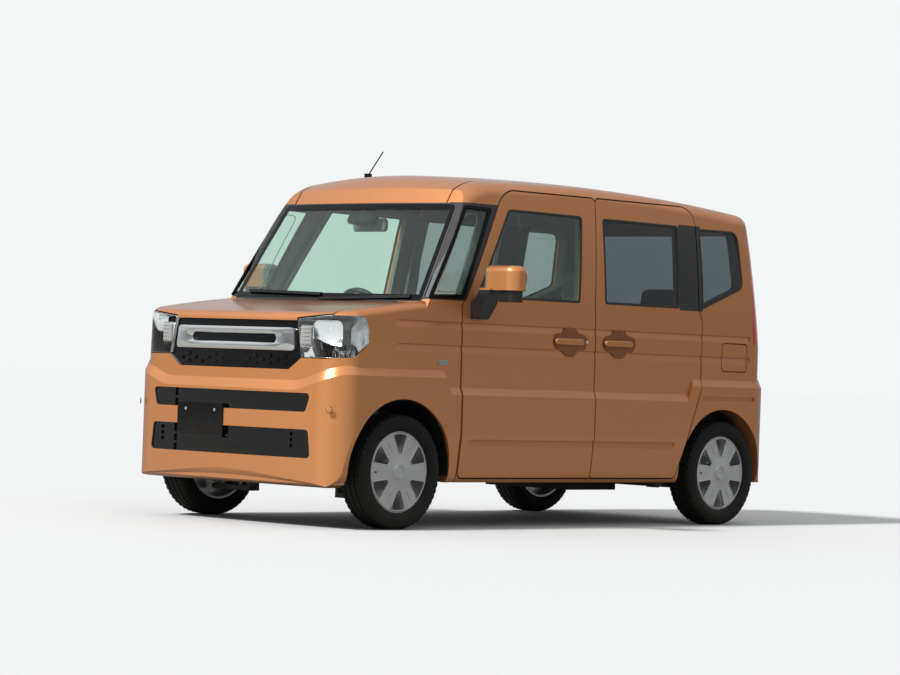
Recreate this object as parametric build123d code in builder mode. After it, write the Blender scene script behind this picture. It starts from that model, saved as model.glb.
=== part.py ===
from build123d import *

import os
from math import atan, cos, degrees, radians, sin, tan

os.makedirs("parts", exist_ok=True)

# Lengths in millimetres. X runs forward, Y to the left, Z up.
# The origin is on the ground, on the centre line, halfway along the car.

overall_length = 3395
overall_width = 1475
overall_height = 1785
half_length = overall_length / 2
flare_half_width = overall_width / 2
far = 4000

axle_front_x = 1200
axle_rear_x = -1260
tyre_radius = 278.5
tyre_width = 155
tyre_centre_y = 647.5
rim_radius = 197

# Body outline
roof_joint_y = 545
skin_half_width = 722
belt_half_width = 712
sill_half_width = 690
under_z = 215
shoulder_z = 700
waist_z = 900
belt_z = 1130
eaves_half_width = 600
roof_peak_x = -150
roof_radius = 13500
crown_radius = 4200
crown_sweep = 40
roof_round = 80
header_x = 560
header_radius = 330
header_slope = 45
screen_base_x = 1125
screen_base_z = 1085
screen_lean = 31.4
screen_bow = 4150
tail_x = -1645
tail_z = 980
tail_lean = 5.2
tail_low_lean = 0.8
tail_bow = 5100
tail_corner = 105
nose_x = 1668
nose_z = 800
nose_lean = 1.6
nose_bow = 7500
nose_corner = 150
bonnet_arc_x = 126
bonnet_arc_z = -7830
bonnet_arc_radius = 8990
bonnet_round = 42

# Flare band round the foot of the body
flare_front_bow = 6000
flare_front_corner = 160
flare_rear_corner = 170
flare_foot_z = 198
flare_foot_y = 706
flare_tuck = 88
flare_full_z = 480
flare_low_top = 705
flare_high_top = 787
flare_dip_top = 705
flare_dip_y = 470
flare_dip_head_y = 712
flare_edge_height = 46
flare_edge_depth = 20
flare_front_foot = 850
flare_front_head = 985
flare_rear_foot = -930
flare_rear_head = -1020
flare_nose_x = 1300

# Crease lines along the side: height, half width of the body there and at its foot, front and rear end
crease_lines = [(1018, 719.5, 721.4, 1243, -1465), (904, 722, 722, 1243, -1465), (442, 735.3, 730.5, 735, -838)]
crease_depth = 7
crease_height = 42
crease_run_out = 40
ditch_depth = 7
ditch_width = 12
rail_slot = (-1500, -1058, 668, 688)
rail_slot_depth = 8.5

# Door handles: bars over dished recesses
front_handle_x = 15
rear_handle_x = -368
handle_z = 946
handle_length = 216
handle_height = 32
handle_thickness = 14
handle_proud = 16
recess_back = 12
recess_length = 268
recess_height = 84
recess_lobe = 112
recess_rise = 150
recess_depth = 18

# Seams and windows
door_seam_x = -194
door_seam_top_x = -250
door_seam_knee_z = 1140
door_head_z = 1691
door_foot_z = 252

# Panel depths, measured inward from the skin
door_skin = 12
door_depth = 48
flange_depth = 54
latch_depth = 53.7
pillar_depth = 80
wing_depth = 16
roof_depth = 22
glass_outer = 3
glass_inner = 8
shut_gap = 7
hinge_gap = 8
flap_gap = 5.5


def outline(points):
    with BuildSketch() as face:
        with BuildLine():
            Polyline(*[(point[0], point[1]) for point in points], close=True)
        make_face()
        for point in points:
            if len(point) > 2:
                corner = face.vertices().sort_by_distance((point[0], point[1]))[0]
                fillet(corner, point[2])
    return face.sketch


def prism(plane, shape, start, length, grow=0):
    with BuildPart() as solid:
        with BuildSketch(plane.offset(start)):
            add(shape)
            if grow:
                offset(amount=grow, kind=Kind.INTERSECTION)
        extrude(amount=length)
    return solid.part


def across(shape, y_low, y_high, grow=0):
    return prism(Plane.XZ, shape, -y_high, y_high - y_low, grow)


def along(shape, x_low, x_high, grow=0):
    return prism(Plane.YZ, shape, x_low, x_high - x_low, grow)


def upward(shape, z_low, z_high, grow=0):
    return prism(Plane.XY, shape, z_low, z_high - z_low, grow)


def block(x_low, x_high, y_low, y_high, z_low, z_high):
    with BuildPart() as solid:
        with Locations(((x_low + x_high) / 2, (y_low + y_high) / 2, (z_low + z_high) / 2)):
            Box(x_high - x_low, y_high - y_low, z_high - z_low)
    return solid.part


def rod(start, end, radius):
    line = Vector(*end) - Vector(*start)
    with BuildPart() as solid:
        with BuildSketch(Plane(origin=start, z_dir=line)):
            Circle(radius)
        extrude(amount=line.length)
    return solid.part


def disc(x, y_low, y_high, z, radius):
    return rod((x, y_low, z), (x, y_high, z), radius)


def joined(*pieces):
    with BuildPart() as solid:
        for piece in pieces:
            add(piece)
    return solid.part


def common(first, *others):
    with BuildPart() as solid:
        add(first)
        for other in others:
            add(other, mode=Mode.INTERSECT)
    return solid.part


def minus(first, *others):
    with BuildPart() as solid:
        add(first)
        for other in others:
            add(other, mode=Mode.SUBTRACT)
    return solid.part


def mirrored(piece):
    return piece.mirror(Plane.XZ)


def paired(piece):
    with BuildPart() as solid:
        add(piece)
        add(mirrored(piece), clean=False)
    return solid.part


def side_form(inset):
    with BuildPart() as solid:
        with BuildSketch(Plane.YZ.offset(-far)):
            with BuildLine():
                Line((0, under_z), (sill_half_width, under_z))
                TangentArc((skin_half_width, shoulder_z), (sill_half_width, under_z), tangent=(0, -1))
                Line((skin_half_width, shoulder_z), (skin_half_width, waist_z))
                lower = TangentArc((skin_half_width, waist_z), (belt_half_width, belt_z), tangent=(0, 1))
                upper = TangentArc((belt_half_width, belt_z), (eaves_half_width, overall_height + 60),
                                   tangent=lower % 1)
                Line(upper @ 1, (0, overall_height + 60))
                Line((0, overall_height + 60), (0, under_z))
            make_face()
            mirror(about=Plane.YZ)
            if inset:
                offset(amount=-inset, kind=Kind.INTERSECTION)
        extrude(amount=2 * far)
    return solid.part


def roof_form(inset):
    slope = degrees((header_x - roof_peak_x) / roof_radius)
    spine_z = overall_height - roof_radius
    reach = roof_radius - header_radius
    header_centre = (roof_peak_x + reach * sin(radians(slope)), spine_z + reach * cos(radians(slope)))
    fall = 1200
    keel_z = -200
    axis = Axis((0, 0, overall_height - crown_radius), (1, 0, 0))
    with BuildPart() as solid:
        with BuildSketch(Plane.XZ):
            with BuildLine():
                spine = CenterArc((roof_peak_x, spine_z), roof_radius - inset, 90 - slope, slope + 10)
                header = CenterArc(header_centre, header_radius - inset, 90 - header_slope,
                                   header_slope - slope)
                brow = header @ 0
                rear = spine @ 1
                foot = (brow.X + fall, brow.Y - fall * tan(radians(header_slope)))
                Polyline((brow.X, brow.Y), foot, (foot[0], keel_z), (rear.X, keel_z), (rear.X, rear.Y))
            make_face()
        revolve(axis=axis, revolution_arc=crown_sweep)
    return solid.part.rotate(axis, -crown_sweep / 2)


def bowed_form(plane, half_width, bow_radius, inset, corner=0, forward=True):
    way = 1 if forward else -1
    bow = half_width ** 2 / (2 * bow_radius)
    with BuildPart() as solid:
        with BuildSketch(plane.offset(-far / 2)) as face:
            with BuildLine():
                ThreePointArc((-way * bow, -half_width), (0, 0), (-way * bow, half_width))
                Polyline((-way * bow, half_width), (-way * far, half_width), (-way * far, -half_width),
                         (-way * bow, -half_width))
            make_face()
            if corner:
                ends = face.vertices().group_by(Axis.X)
                fillet(ends[-1] if forward else ends[0], corner)
            if inset:
                offset(amount=-inset, kind=Kind.INTERSECTION)
        extrude(amount=far)
    return solid.part


def leaning_plane(x, z, lean):
    tilt = radians(lean)
    return Plane(origin=(x, 0, z), x_dir=(cos(tilt), 0, sin(tilt)), z_dir=(-sin(tilt), 0, cos(tilt)))


def cabin_form(inset):
    with BuildPart() as solid:
        add(side_form(inset))
        add(roof_form(inset), mode=Mode.INTERSECT)
        for lean in (tail_lean, tail_low_lean):
            tail = bowed_form(leaning_plane(tail_x, tail_z, -lean), skin_half_width + 1, tail_bow, inset,
                              forward=False)
            add(tail, mode=Mode.INTERSECT)
        corner_edges = [edge for edge in solid.edges()
                        if edge.center().X < -1480 and abs(edge.center().Y) > 600
                        and abs((edge @ 0).Z - (edge @ 1).Z) > 50]
        fillet(corner_edges, tail_corner - inset)
        roof_edges = [edge for edge in solid.edges()
                      if min((edge @ 0).Z, (edge @ 1).Z) > 1500 and edge.center().X < header_x
                      and (abs(edge.center().Y) > 400 or edge.center().X < -1450)]
        if roof_round - inset > 5:
            fillet(roof_edges, roof_round - inset)
        add(bowed_form(leaning_plane(screen_base_x, screen_base_z, screen_lean), 900, screen_bow, inset),
            mode=Mode.INTERSECT)
    return solid.part


def nose_top_form(inset):
    with BuildPart() as solid:
        with BuildSketch(Plane.XZ.offset(-far / 2)):
            with BuildLine():
                top = CenterArc((bonnet_arc_x, bonnet_arc_z), bonnet_arc_radius, 79, 12)
                front = top @ 0
                rear = top @ 1
                Polyline((front.X, front.Y), (front.X, 0), (rear.X, 0), (rear.X, rear.Y))
            make_face()
            if inset:
                offset(amount=-inset, kind=Kind.INTERSECTION)
        extrude(amount=far)
    return solid.part


def nose_form(inset):
    with BuildPart() as solid:
        add(side_form(inset))
        add(nose_top_form(inset), mode=Mode.INTERSECT)
        add(bowed_form(leaning_plane(nose_x, nose_z, nose_lean), skin_half_width + 1, nose_bow, inset,
                       nose_corner), mode=Mode.INTERSECT)
        edges = [edge for edge in solid.edges()
                 if edge.center().Z > 940 and edge.center().X > 400 and abs((edge % 0.5).Z) < 0.7
                 and (abs(edge.center().Y) > 300 or edge.center().X > 1600)]
        if bonnet_round - inset > 5:
            fillet(edges, bonnet_round - inset)
    return solid.part


def flare_plan(inset):
    front_bow = flare_half_width ** 2 / (2 * flare_front_bow)
    with BuildSketch() as face:
        with BuildLine():
            ThreePointArc((half_length - front_bow, -flare_half_width), (half_length, 0),
                          (half_length - front_bow, flare_half_width))
            Line((half_length - front_bow, flare_half_width), (-half_length + front_bow, flare_half_width))
            ThreePointArc((-half_length + front_bow, flare_half_width), (-half_length, 0),
                          (-half_length + front_bow, -flare_half_width))
            Line((-half_length + front_bow, -flare_half_width), (half_length - front_bow, -flare_half_width))
        make_face()
        ends = face.vertices().group_by(Axis.X)
        fillet(ends[-1], flare_front_corner)
        fillet(face.vertices().group_by(Axis.X)[0], flare_rear_corner)
        if inset:
            offset(amount=-inset, kind=Kind.INTERSECTION)
    return face.sketch


def flare_level(top, inset):
    plan = flare_plan(inset)
    edge_foot = top - flare_edge_height
    with BuildPart() as solid:
        with BuildSketch(Plane.XY.offset(flare_foot_z + inset)):
            add(plan)
        extrude(amount=edge_foot - flare_foot_z - inset)
        with BuildSketch(Plane.XY.offset(edge_foot)):
            add(plan)
        extrude(amount=flare_edge_height, taper=degrees(atan(flare_edge_depth / flare_edge_height)))
    return solid.part


def flare_nose(inset):
    high = flare_high_top
    dip_line = outline([(-far, 0), (far, 0), (far, high), (flare_dip_head_y, high, 80),
                        (flare_dip_y, flare_dip_top, 250), (-flare_dip_y, flare_dip_top, 250),
                        (-flare_dip_head_y, high, 80), (-far, high)])
    with BuildPart() as solid:
        add(upward(flare_plan(inset), flare_foot_z + inset, high + 100))
        add(along(dip_line, flare_nose_x, far), mode=Mode.INTERSECT)
        front_rim = solid.edges().filter_by(lambda edge: edge.center().Z > 600).sort_by(Axis.X)[-1]
        top_face = [face for face in solid.faces() if face.normal_at(face.center()).Z > 0.7
                    and any(edge.is_same(front_rim) for edge in face.edges())][0]
        chamfer(front_rim, length=flare_edge_depth, length2=flare_edge_height, reference=top_face)
    return solid.part


def flare_form(inset):
    foot_z = flare_foot_z + inset
    end_x = half_length + 2 - inset
    full_y = flare_half_width + 2 - inset
    foot_y = flare_foot_y - inset
    over_z = 900
    rear_end = outline([(flare_rear_foot, 600), (flare_rear_head, over_z), (-far, over_z), (-far, 0),
                        (flare_rear_foot, 0)])
    front_end = outline([(flare_front_foot, 600), (flare_front_head, over_z), (flare_nose_x, over_z),
                         (flare_nose_x, 0), (flare_front_foot, 0)])
    before_nose = block(-far, flare_nose_x, -far, far, 0, over_z)
    ends = joined(across(front_end, -far / 2, far / 2), across(rear_end, -far / 2, far / 2))
    side_line = outline([(-end_x, foot_z, flare_tuck - inset), (end_x, foot_z, flare_tuck - inset),
                         (end_x, over_z), (-end_x, over_z)])
    front_line = outline([(-foot_y, foot_z, flare_tuck - inset), (foot_y, foot_z, flare_tuck - inset),
                          (full_y, flare_full_z), (full_y, over_z), (-full_y, over_z), (-full_y, flare_full_z)])
    whole = joined(common(flare_level(flare_low_top, inset), before_nose),
                   common(flare_level(flare_high_top, inset), ends), flare_nose(inset))
    return common(whole, across(side_line, -far / 2, far / 2), along(front_line, -far, far))


def body_form(inset):
    return joined(cabin_form(inset), nose_form(inset), flare_form(inset))


def crease(z, half_width, foot_half_width, front_x, rear_x):
    foot_z = z - crease_height
    section = outline([(half_width + 20, z + 1), (half_width - crease_depth, z - 3), (foot_half_width + 0.5, foot_z),
                       (half_width + 20, foot_z)])
    reach = outline([(front_x, z + 2), (front_x + crease_run_out, foot_z - 1), (rear_x, foot_z - 1), (rear_x, z + 2)])
    return common(along(section, rear_x - 10, front_x + crease_run_out + 10), across(reach, 600, 800))


creases = joined(*[crease(*line) for line in crease_lines])
rail_groove = block(rail_slot[0], rail_slot[1], flare_half_width - rail_slot_depth, 800, rail_slot[2], rail_slot[3])
ditch = minus(block(-1700, 900, roof_joint_y - ditch_width / 2, roof_joint_y + ditch_width / 2, 1560, far),
              cabin_form(ditch_depth))
form_skin = body_form(0)
form_door_skin = joined(cabin_form(door_skin), flare_form(door_skin))
form_wing = body_form(wing_depth)
form_door = cabin_form(door_depth)
form_flange = cabin_form(flange_depth)
form_pillar = cabin_form(pillar_depth)
form_latch = cabin_form(latch_depth)
form_roof = cabin_form(roof_depth)
form_glass_outer = cabin_form(glass_outer)
form_glass_inner = cabin_form(glass_inner)

# Openings and panel outlines in side view, as X and Z
half_gap = shut_gap / 2
rim = 28
front_edge_x = door_seam_x + half_gap
front_edge_top_x = door_seam_top_x + half_gap
rear_edge_x = door_seam_x - half_gap
rear_edge_top_x = door_seam_top_x - half_gap
front_door_outline = outline([(792, door_foot_z, 25), (800, 1100, 20), (766, 1137, 12), (448, door_head_z, 150),
                              (front_edge_top_x, door_head_z, 25), (front_edge_x, door_seam_knee_z),
                              (front_edge_x, door_foot_z, 12)])
front_door_inner = outline([(742, door_foot_z + rim, 20), (748, 1090, 20), (712, 1145, 12),
                            (425, door_head_z - 36, 120), (front_edge_top_x + rim, door_head_z - 36, 20),
                            (front_edge_x + rim, door_seam_knee_z), (front_edge_x + rim, door_foot_z + rim, 12)])
front_window = outline([(698, 1147, 14), (424, 1597, 30), (-132, 1593, 24), (-75, 1147, 20)])
rear_door_outline = outline([(rear_edge_x, door_foot_z, 12), (rear_edge_x, door_seam_knee_z),
                             (rear_edge_top_x, door_head_z, 25), (-1050, door_head_z, 95), (-1030, 1150, 30),
                             (-1056, 1085, 30), (-1050, 740, 60), (-957, 505, 20), (-872, door_foot_z, 25)])
rear_door_inner = outline([(rear_edge_x - rim, door_foot_z + rim, 12), (rear_edge_x - rim, door_seam_knee_z),
                           (rear_edge_top_x - rim, door_head_z - 36, 20), (-1022, door_head_z - 36, 75),
                           (-1002, 1150, 30), (-1027, 1085, 30), (-1022, 750, 60), (-930, 505, 20),
                           (-850, door_foot_z + rim, 20)])
rear_window = outline([(-272, 1150, 20), (-292, 1592, 24), (-902, 1588, 24), (-872, 1150, 20)])
front_quarter = outline([(1040, 1126, 12), (742, 1600, 12), (547, 1594, 12), (794, 1135, 12)])
rear_quarter = outline([(-1066, 1154, 14), (-1076, 1582, 20), (-1404, 1582, 60), (-1418, 1278, 40)])
fuel_flap_outline = outline([(-1231, 828, 18), (-1231, 973, 18), (-1438, 973, 18), (-1438, 828, 18)])

# Openings in front view, as Y and Z
screen_outline = outline([(-676, 1102, 30), (-616, 1610, 40), (616, 1610, 40), (676, 1102, 30)])
tailgate_half_width = 596
tailgate_low_z = 552
tailgate_high_z = 1740
gate_seam_x = -1530
gate_seam_z = 1655
tailgate_outline = outline([(-tailgate_half_width, tailgate_low_z, 60), (-tailgate_half_width, 1400),
                            (-556, tailgate_high_z), (556, tailgate_high_z),
                            (tailgate_half_width, 1400), (tailgate_half_width, tailgate_low_z, 60)])
tailgate_window = outline([(-530, 1120, 40), (-500, 1570, 40), (500, 1570, 40), (530, 1120, 40)])

# Latch bodies that reach the pillar flange: X low and high, Z low and high
front_latches = [(-186, -160, 700, 770), (-186, -160, 840, 890)]
rear_latches = [(-223, -202, 700, 770), (-1047, -1022, 820, 900), (-500, -440, 272, 292)]
gate_latch = (568, 593, 860, 960)

arch_front = (1208, 285, 347)
arch_rear = (-1238, 283, 337)


def arch(measures, y_low, y_high, grow=0):
    x, z, radius = measures
    return disc(x, y_low, y_high, z, radius + grow)


# Doors
side_skin = common(form_skin, block(-far, far, 250, far, 0, far))


def handle_recess(x):
    with BuildPart() as solid:
        with BuildSketch(Plane.XZ.offset(-skin_half_width - 1)):
            with Locations((x - recess_back, handle_z)):
                SlotOverall(recess_length, recess_height)
                SlotOverall(recess_rise, recess_lobe, rotation=90)
        extrude(amount=recess_depth + 1, taper=25)
    return solid.part


def handle_bar(x):
    outer_y = skin_half_width + handle_proud
    with BuildPart() as solid:
        with BuildSketch(Plane.XZ.offset(-outer_y)):
            with Locations((x, handle_z)):
                SlotOverall(handle_length, handle_height)
        extrude(amount=handle_thickness)
        fillet(solid.faces().sort_by(Axis.Y)[-1].edges(), 6)
        with BuildSketch(Plane.XZ.offset(-outer_y + handle_thickness / 2)):
            with Locations((x, handle_z)):
                with GridLocations(handle_length - handle_height, 0, 2, 1):
                    Circle(10)
        extrude(amount=handle_proud + recess_depth)
    return solid.part


def door_panel(whole, inner, window, latches, handle_x):
    skin = minus(common(side_skin, across(whole, 300, 900)), form_door_skin)
    lining = minus(common(side_skin, across(inner, 300, 900)), form_door)
    catches = joined(*[block(*latch[:2], 300, 900, *latch[2:]) for latch in latches])
    catches = minus(common(side_skin, catches), form_latch)
    shell = minus(joined(skin, lining, catches), across(window, 300, 900), creases, handle_recess(handle_x))
    return joined(shell, handle_bar(handle_x))


form_pane_outer = side_form(glass_outer)
form_pane_inner = side_form(glass_inner)


def side_glass(window):
    return minus(common(form_pane_outer, across(window, 300, 900)), form_pane_inner)


with BuildPart() as front_door_left:
    add(door_panel(front_door_outline, front_door_inner, front_window, front_latches, front_handle_x))
with BuildPart() as front_door_right:
    add(mirrored(front_door_left.part), clean=False)
with BuildPart() as rear_door_left:
    add(door_panel(rear_door_outline, rear_door_inner, rear_window, rear_latches, rear_handle_x))
with BuildPart() as rear_door_right:
    add(mirrored(rear_door_left.part), clean=False)
with BuildPart() as front_door_glass_left:
    add(side_glass(front_window))
with BuildPart() as front_door_glass_right:
    add(mirrored(front_door_glass_left.part), clean=False)
with BuildPart() as fixed_side_glass:
    add(paired(joined(side_glass(rear_window), side_glass(front_quarter), side_glass(rear_quarter))))

# Windscreen, set in the face of the body
with BuildPart() as windscreen:
    add(common(form_skin, along(screen_outline, 650, 1300)))
    add(cabin_form(6), mode=Mode.SUBTRACT)
    add(block(600, 1300, -800, 800, 0, 1108), mode=Mode.SUBTRACT)

# Body sides: pillars, rails, sill and rear wing
fender_edge_x = 808
pillar_front_x = 845
rear_face_x = -1660


def body_side():
    zone = joined(block(rear_face_x, pillar_front_x, roof_joint_y, far, 0, 1104),
                  block(rear_face_x, 1090, roof_joint_y, far, 1104, far))
    with BuildPart() as solid:
        add(common(side_skin, zone))
        add(form_pillar, mode=Mode.SUBTRACT)
        for whole in (front_door_outline, rear_door_outline):
            add(minus(across(whole, 300, 900, shut_gap), form_flange), mode=Mode.SUBTRACT)
            add(across(whole, 300, 900, -28), mode=Mode.SUBTRACT)
        fender_cover = block(fender_edge_x - hinge_gap, far, 300, 900, 0, 1104)
        add(minus(fender_cover, form_wing), mode=Mode.SUBTRACT)
        add(across(front_quarter, 300, 900), mode=Mode.SUBTRACT)
        add(across(rear_quarter, 300, 900), mode=Mode.SUBTRACT)
        add(arch(arch_rear, 300, 900), mode=Mode.SUBTRACT)
        add(windscreen.part, mode=Mode.SUBTRACT)
        add(along(screen_outline, 650, 1300, -28), mode=Mode.SUBTRACT)
        add(block(-far, far, 300, 900, 0, 228), mode=Mode.SUBTRACT)
        add(joined(creases, rail_groove, ditch), mode=Mode.SUBTRACT)
    return solid.part


raw_side = body_side()

# Rear end: tailgate, lamps, bumper
rear_skin = common(form_skin, block(-far, -1350, -900, 900, 0, far))
bumper_rear_zone = across(outline([(-1480, 0), (-1480, 648), (-far, 648), (-far, 0)]), -900, 900)
lamp_outline = outline([(604, 976, 12), (604, 1414, 12), (740, 1414, 12), (740, 976, 12)])
lamp_front_x = -1492

with BuildPart() as tail_lamps:
    lamp = minus(common(rear_skin, along(lamp_outline, -1700, lamp_front_x)), form_door)
    add(paired(lamp))

roof_ahead = block(gate_seam_x + shut_gap, far, -far, far, gate_seam_z, far)
tailgate_cut = minus(along(tailgate_outline, -1720, -1400, shut_gap), roof_ahead)

with BuildPart() as tailgate:
    gate_skin = minus(common(rear_skin, along(tailgate_outline, -1720, gate_seam_x)), form_door_skin)
    gate_inner = outline([(-560, 590, 50), (-560, 1400), (-528, 1652, 40), (528, 1652, 40), (560, 1400),
                          (560, 590, 50)])
    gate_lining = minus(common(rear_skin, along(gate_inner, -1720, -1480)), form_door)
    add(gate_skin)
    add(gate_lining)
    catches = paired(block(-1720, -1400, *gate_latch))
    add(minus(common(rear_skin, catches), form_latch))
    add(block(-1720, -1400, -900, 900, 0, tailgate_low_z), mode=Mode.SUBTRACT)
    add(along(tailgate_window, -1720, -1400), mode=Mode.SUBTRACT)

with BuildPart() as tailgate_glass:
    add(common(form_glass_outer, along(tailgate_window, -1720, -1480)))
    add(form_glass_inner, mode=Mode.SUBTRACT)

with BuildPart() as rear_bumper:
    add(common(rear_skin, bumper_rear_zone))
    add(form_wing, mode=Mode.SUBTRACT)
    add(arch(arch_rear, -900, 900), mode=Mode.SUBTRACT)
    add(along(tailgate_outline, -1720, -1400, shut_gap), mode=Mode.SUBTRACT)
    add(block(-1720, -1400, -900, 900, 0, 228), mode=Mode.SUBTRACT)
    add(upward(flare_plan(flare_tuck + 8), 0, 260), mode=Mode.SUBTRACT)

rear_flange = minus(tailgate_cut, form_flange)
rear_opening = along(tailgate_outline, -1720, -1400, -30)

flap_pocket = minus(across(fuel_flap_outline, 300, 900, flap_gap), form_flange)
bare_side = minus(raw_side, tail_lamps.part, rear_flange, rear_opening, minus(bumper_rear_zone, form_wing))

with BuildPart() as body_side_left:
    add(bare_side)
    add(flap_pocket, mode=Mode.SUBTRACT)
    add(disc(-1418, 640, skin_half_width - door_skin - 0.3, 868, 8))
with BuildPart() as body_side_right:
    add(mirrored(bare_side), clean=False)
with BuildPart() as fuel_flap:
    add(common(side_skin, across(fuel_flap_outline, 300, 900)))
    add(form_door_skin, mode=Mode.SUBTRACT)
    add(creases, mode=Mode.SUBTRACT)

# Roof between the body sides, from header to tail
with BuildPart() as roof_panel:
    add(common(form_skin, block(-1700, 900, -roof_joint_y, roof_joint_y, 1560, far)))
    add(form_roof, mode=Mode.SUBTRACT)
    add(paired(ditch), mode=Mode.SUBTRACT)
    add(windscreen.part, mode=Mode.SUBTRACT)
    add(along(screen_outline, 650, 1300, -28), mode=Mode.SUBTRACT)
    add(tailgate_cut, mode=Mode.SUBTRACT)


# Front end: headlamps, bonnet, wings, bumper, grille
lamp_side = outline([(1760, 812), (1540, 820, 50), (1450, 890, 36), (1446, 960, 30), (1472, 1022, 30),
                     (1760, 1022)])
lamp_front_left = [(436, 1000, 10), (472, 813, 10), (760, 813), (760, 1024), (640, 1022)]
lamp_front_right = [(-corner[0], *corner[1:]) for corner in lamp_front_left]
bonnet_plan = outline([(1131, -613, 12), (1516, -605), (1572, -640), (1760, -640), (1760, 640), (1572, 640),
                       (1516, 605), (1131, 613, 12)])
bonnet_front = outline([(-700, 1034), (-640, 1029), (-429, 1007, 4), (-429, 992), (429, 992), (429, 1007, 4),
                        (640, 1029), (700, 1034), (700, 1300), (-700, 1300)])
bumper_side = outline([(1385, 0), (1385, 611), (1492, 767), (1504, 812), (1760, 812), (1760, 0)])
mouth_front = outline([(-433, 990, 8), (-470, 812), (-440, 790), (-392, 756, 14), (392, 756, 14), (440, 790),
                       (470, 812), (433, 990, 8)])
mouth_back = outline([(-434, 988, 8), (-468, 806), (-440, 780), (-398, 744, 14), (398, 744, 14), (440, 780),
                      (468, 806), (434, 988, 8)])
upper_intake = outline([(-563, 646, 20), (-535, 556, 20), (535, 556, 20), (563, 646, 20)])
lower_intake = outline([(-555, 472, 20), (-572, 336, 20), (572, 336, 20), (555, 472, 20)])
slat_half_width = 392
slat_half_height = 5
slat_depth = 7

front_zone = block(780, far, -far, far, 0, 1300)
front_skin = common(form_skin, front_zone)
front_wing = common(form_wing, front_zone)
form_lamp_back = nose_form(60)
form_insert = joined(nose_form(24), flare_form(24))
lamp_zone_left = common(across(lamp_side, 0, 900), along(outline(lamp_front_left), 1400, 1760))
lamp_zone_right = common(across(lamp_side, -900, 0), along(outline(lamp_front_right), 1400, 1760))

with BuildPart() as headlamps:
    add(minus(common(front_skin, joined(lamp_zone_left, lamp_zone_right)), form_lamp_back))

bonnet_skin_zone = common(upward(bonnet_plan, 900, 1300), along(bonnet_front, 1000, 1760))
with BuildPart() as bonnet:
    add(common(front_skin, bonnet_skin_zone))
    add(front_wing, mode=Mode.SUBTRACT)
    add(block(900, 1760, -900, 900, 0, 985), mode=Mode.SUBTRACT)

wing_plan = outline([(fender_edge_x, 620), (1516, 612), (1572, 647), (1760, 647), (1760, 900),
                     (fender_edge_x, 900)])
with BuildPart() as front_fenders:
    wing = common(front_skin, upward(wing_plan, 228, 1104))
    wing = minus(wing, front_wing, arch(arch_front, 300, 900), lamp_zone_left, across(bumper_side, 300, 900),
                 creases)
    add(paired(wing))

with BuildPart() as front_bumper:
    add(common(front_skin, across(bumper_side, -900, 900)))
    add(front_wing, mode=Mode.SUBTRACT)
    add(along(mouth_front, 1400, 1760), mode=Mode.SUBTRACT)
    add(along(upper_intake, 1400, 1760), mode=Mode.SUBTRACT)
    add(along(lower_intake, 1400, 1760), mode=Mode.SUBTRACT)
    add(lamp_zone_left, mode=Mode.SUBTRACT)
    add(lamp_zone_right, mode=Mode.SUBTRACT)
    add(upward(flare_plan(flare_tuck + 8), 0, 260), mode=Mode.SUBTRACT)
    add(arch(arch_front, 300, 900), mode=Mode.SUBTRACT)
    add(arch(arch_front, -900, -300), mode=Mode.SUBTRACT)

# Grille: bright bar with a long slot, domed mesh below it, and slatted intakes with finned corner blocks
bar_outline = outline([(-412, 956, 22), (-424, 847, 22), (424, 847, 22), (412, 956, 22)])
bar_slot_z = 903
bar_slot_length = 604
bar_slot_height = 44
with BuildPart() as grille_bar:
    add(common(front_skin, along(bar_outline, 1500, 1760)))
    add(front_wing, mode=Mode.SUBTRACT)
    with BuildSketch(Plane.YZ.offset(1500)):
        with Locations((0, bar_slot_z)):
            SlotOverall(bar_slot_length, bar_slot_height)
    extrude(amount=260, mode=Mode.SUBTRACT)
    chamfer(grille_bar.edges().filter_by(lambda edge: edge.center().X > nose_x - 14), 5)

dome_pitch_y = 50
dome_pitch_z = 36
dome_first_y = 96
dome_columns = 7
dome_z = 800
dome_length = 43
dome_height = 27
dome_depth = 8


def dome_places():
    places = []
    for side in (-1, 1):
        for column in range(dome_columns):
            y = side * (dome_first_y + column * dome_pitch_y)
            heights = (dome_z - dome_pitch_z / 2, dome_z + dome_pitch_z / 2) if column % 2 else (dome_z,)
            places += [(y, z) for z in heights]
    return places


def mesh_domes():
    face_x = nose_x - wing_depth - (dome_first_y + dome_columns * dome_pitch_y) ** 2 / (2 * nose_bow) - 2
    with BuildPart() as solid:
        with BuildSketch(Plane.YZ.offset(face_x)):
            with Locations(*dome_places()):
                SlotOverall(dome_length, dome_height)
        extrude(amount=dome_depth + 12, taper=20)
    return common(solid.part, nose_form(wing_depth - dome_depth))


form_slat = joined(nose_form(slat_depth), flare_form(slat_depth))


def intake(shape, slat_heights, fin_heights):
    opening = common(along(shape, 1560, 1760), form_slat)
    slats = [block(1500, 1760, -slat_half_width, slat_half_width, z - slat_half_height, z + slat_half_height)
             for z in slat_heights]
    centre = block(1500, 1760, -slat_half_width, slat_half_width, 0, far)
    fins = [across(outline([(1560, z), (1760, z - 12), (1760, z + 12), (1560, z + 12)]), y_low, y_low + 62)
            for z in fin_heights for y_low in (-498, 436)]
    blocks = minus(opening, centre, *fins) if fins else minus(opening, centre)
    return joined(common(opening, joined(*slats)), blocks)


with BuildPart() as grille_inserts:
    openings = joined(along(mouth_back, 1500, 1760), along(upper_intake, 1500, 1760, 12),
                      along(lower_intake, 1500, 1760, 12))
    add(common(front_wing, openings))
    add(mesh_domes())
    add(intake(upper_intake, [601], []))
    add(intake(lower_intake, [423, 377], [446, 418, 390]))
    add(form_insert, mode=Mode.SUBTRACT)

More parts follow.
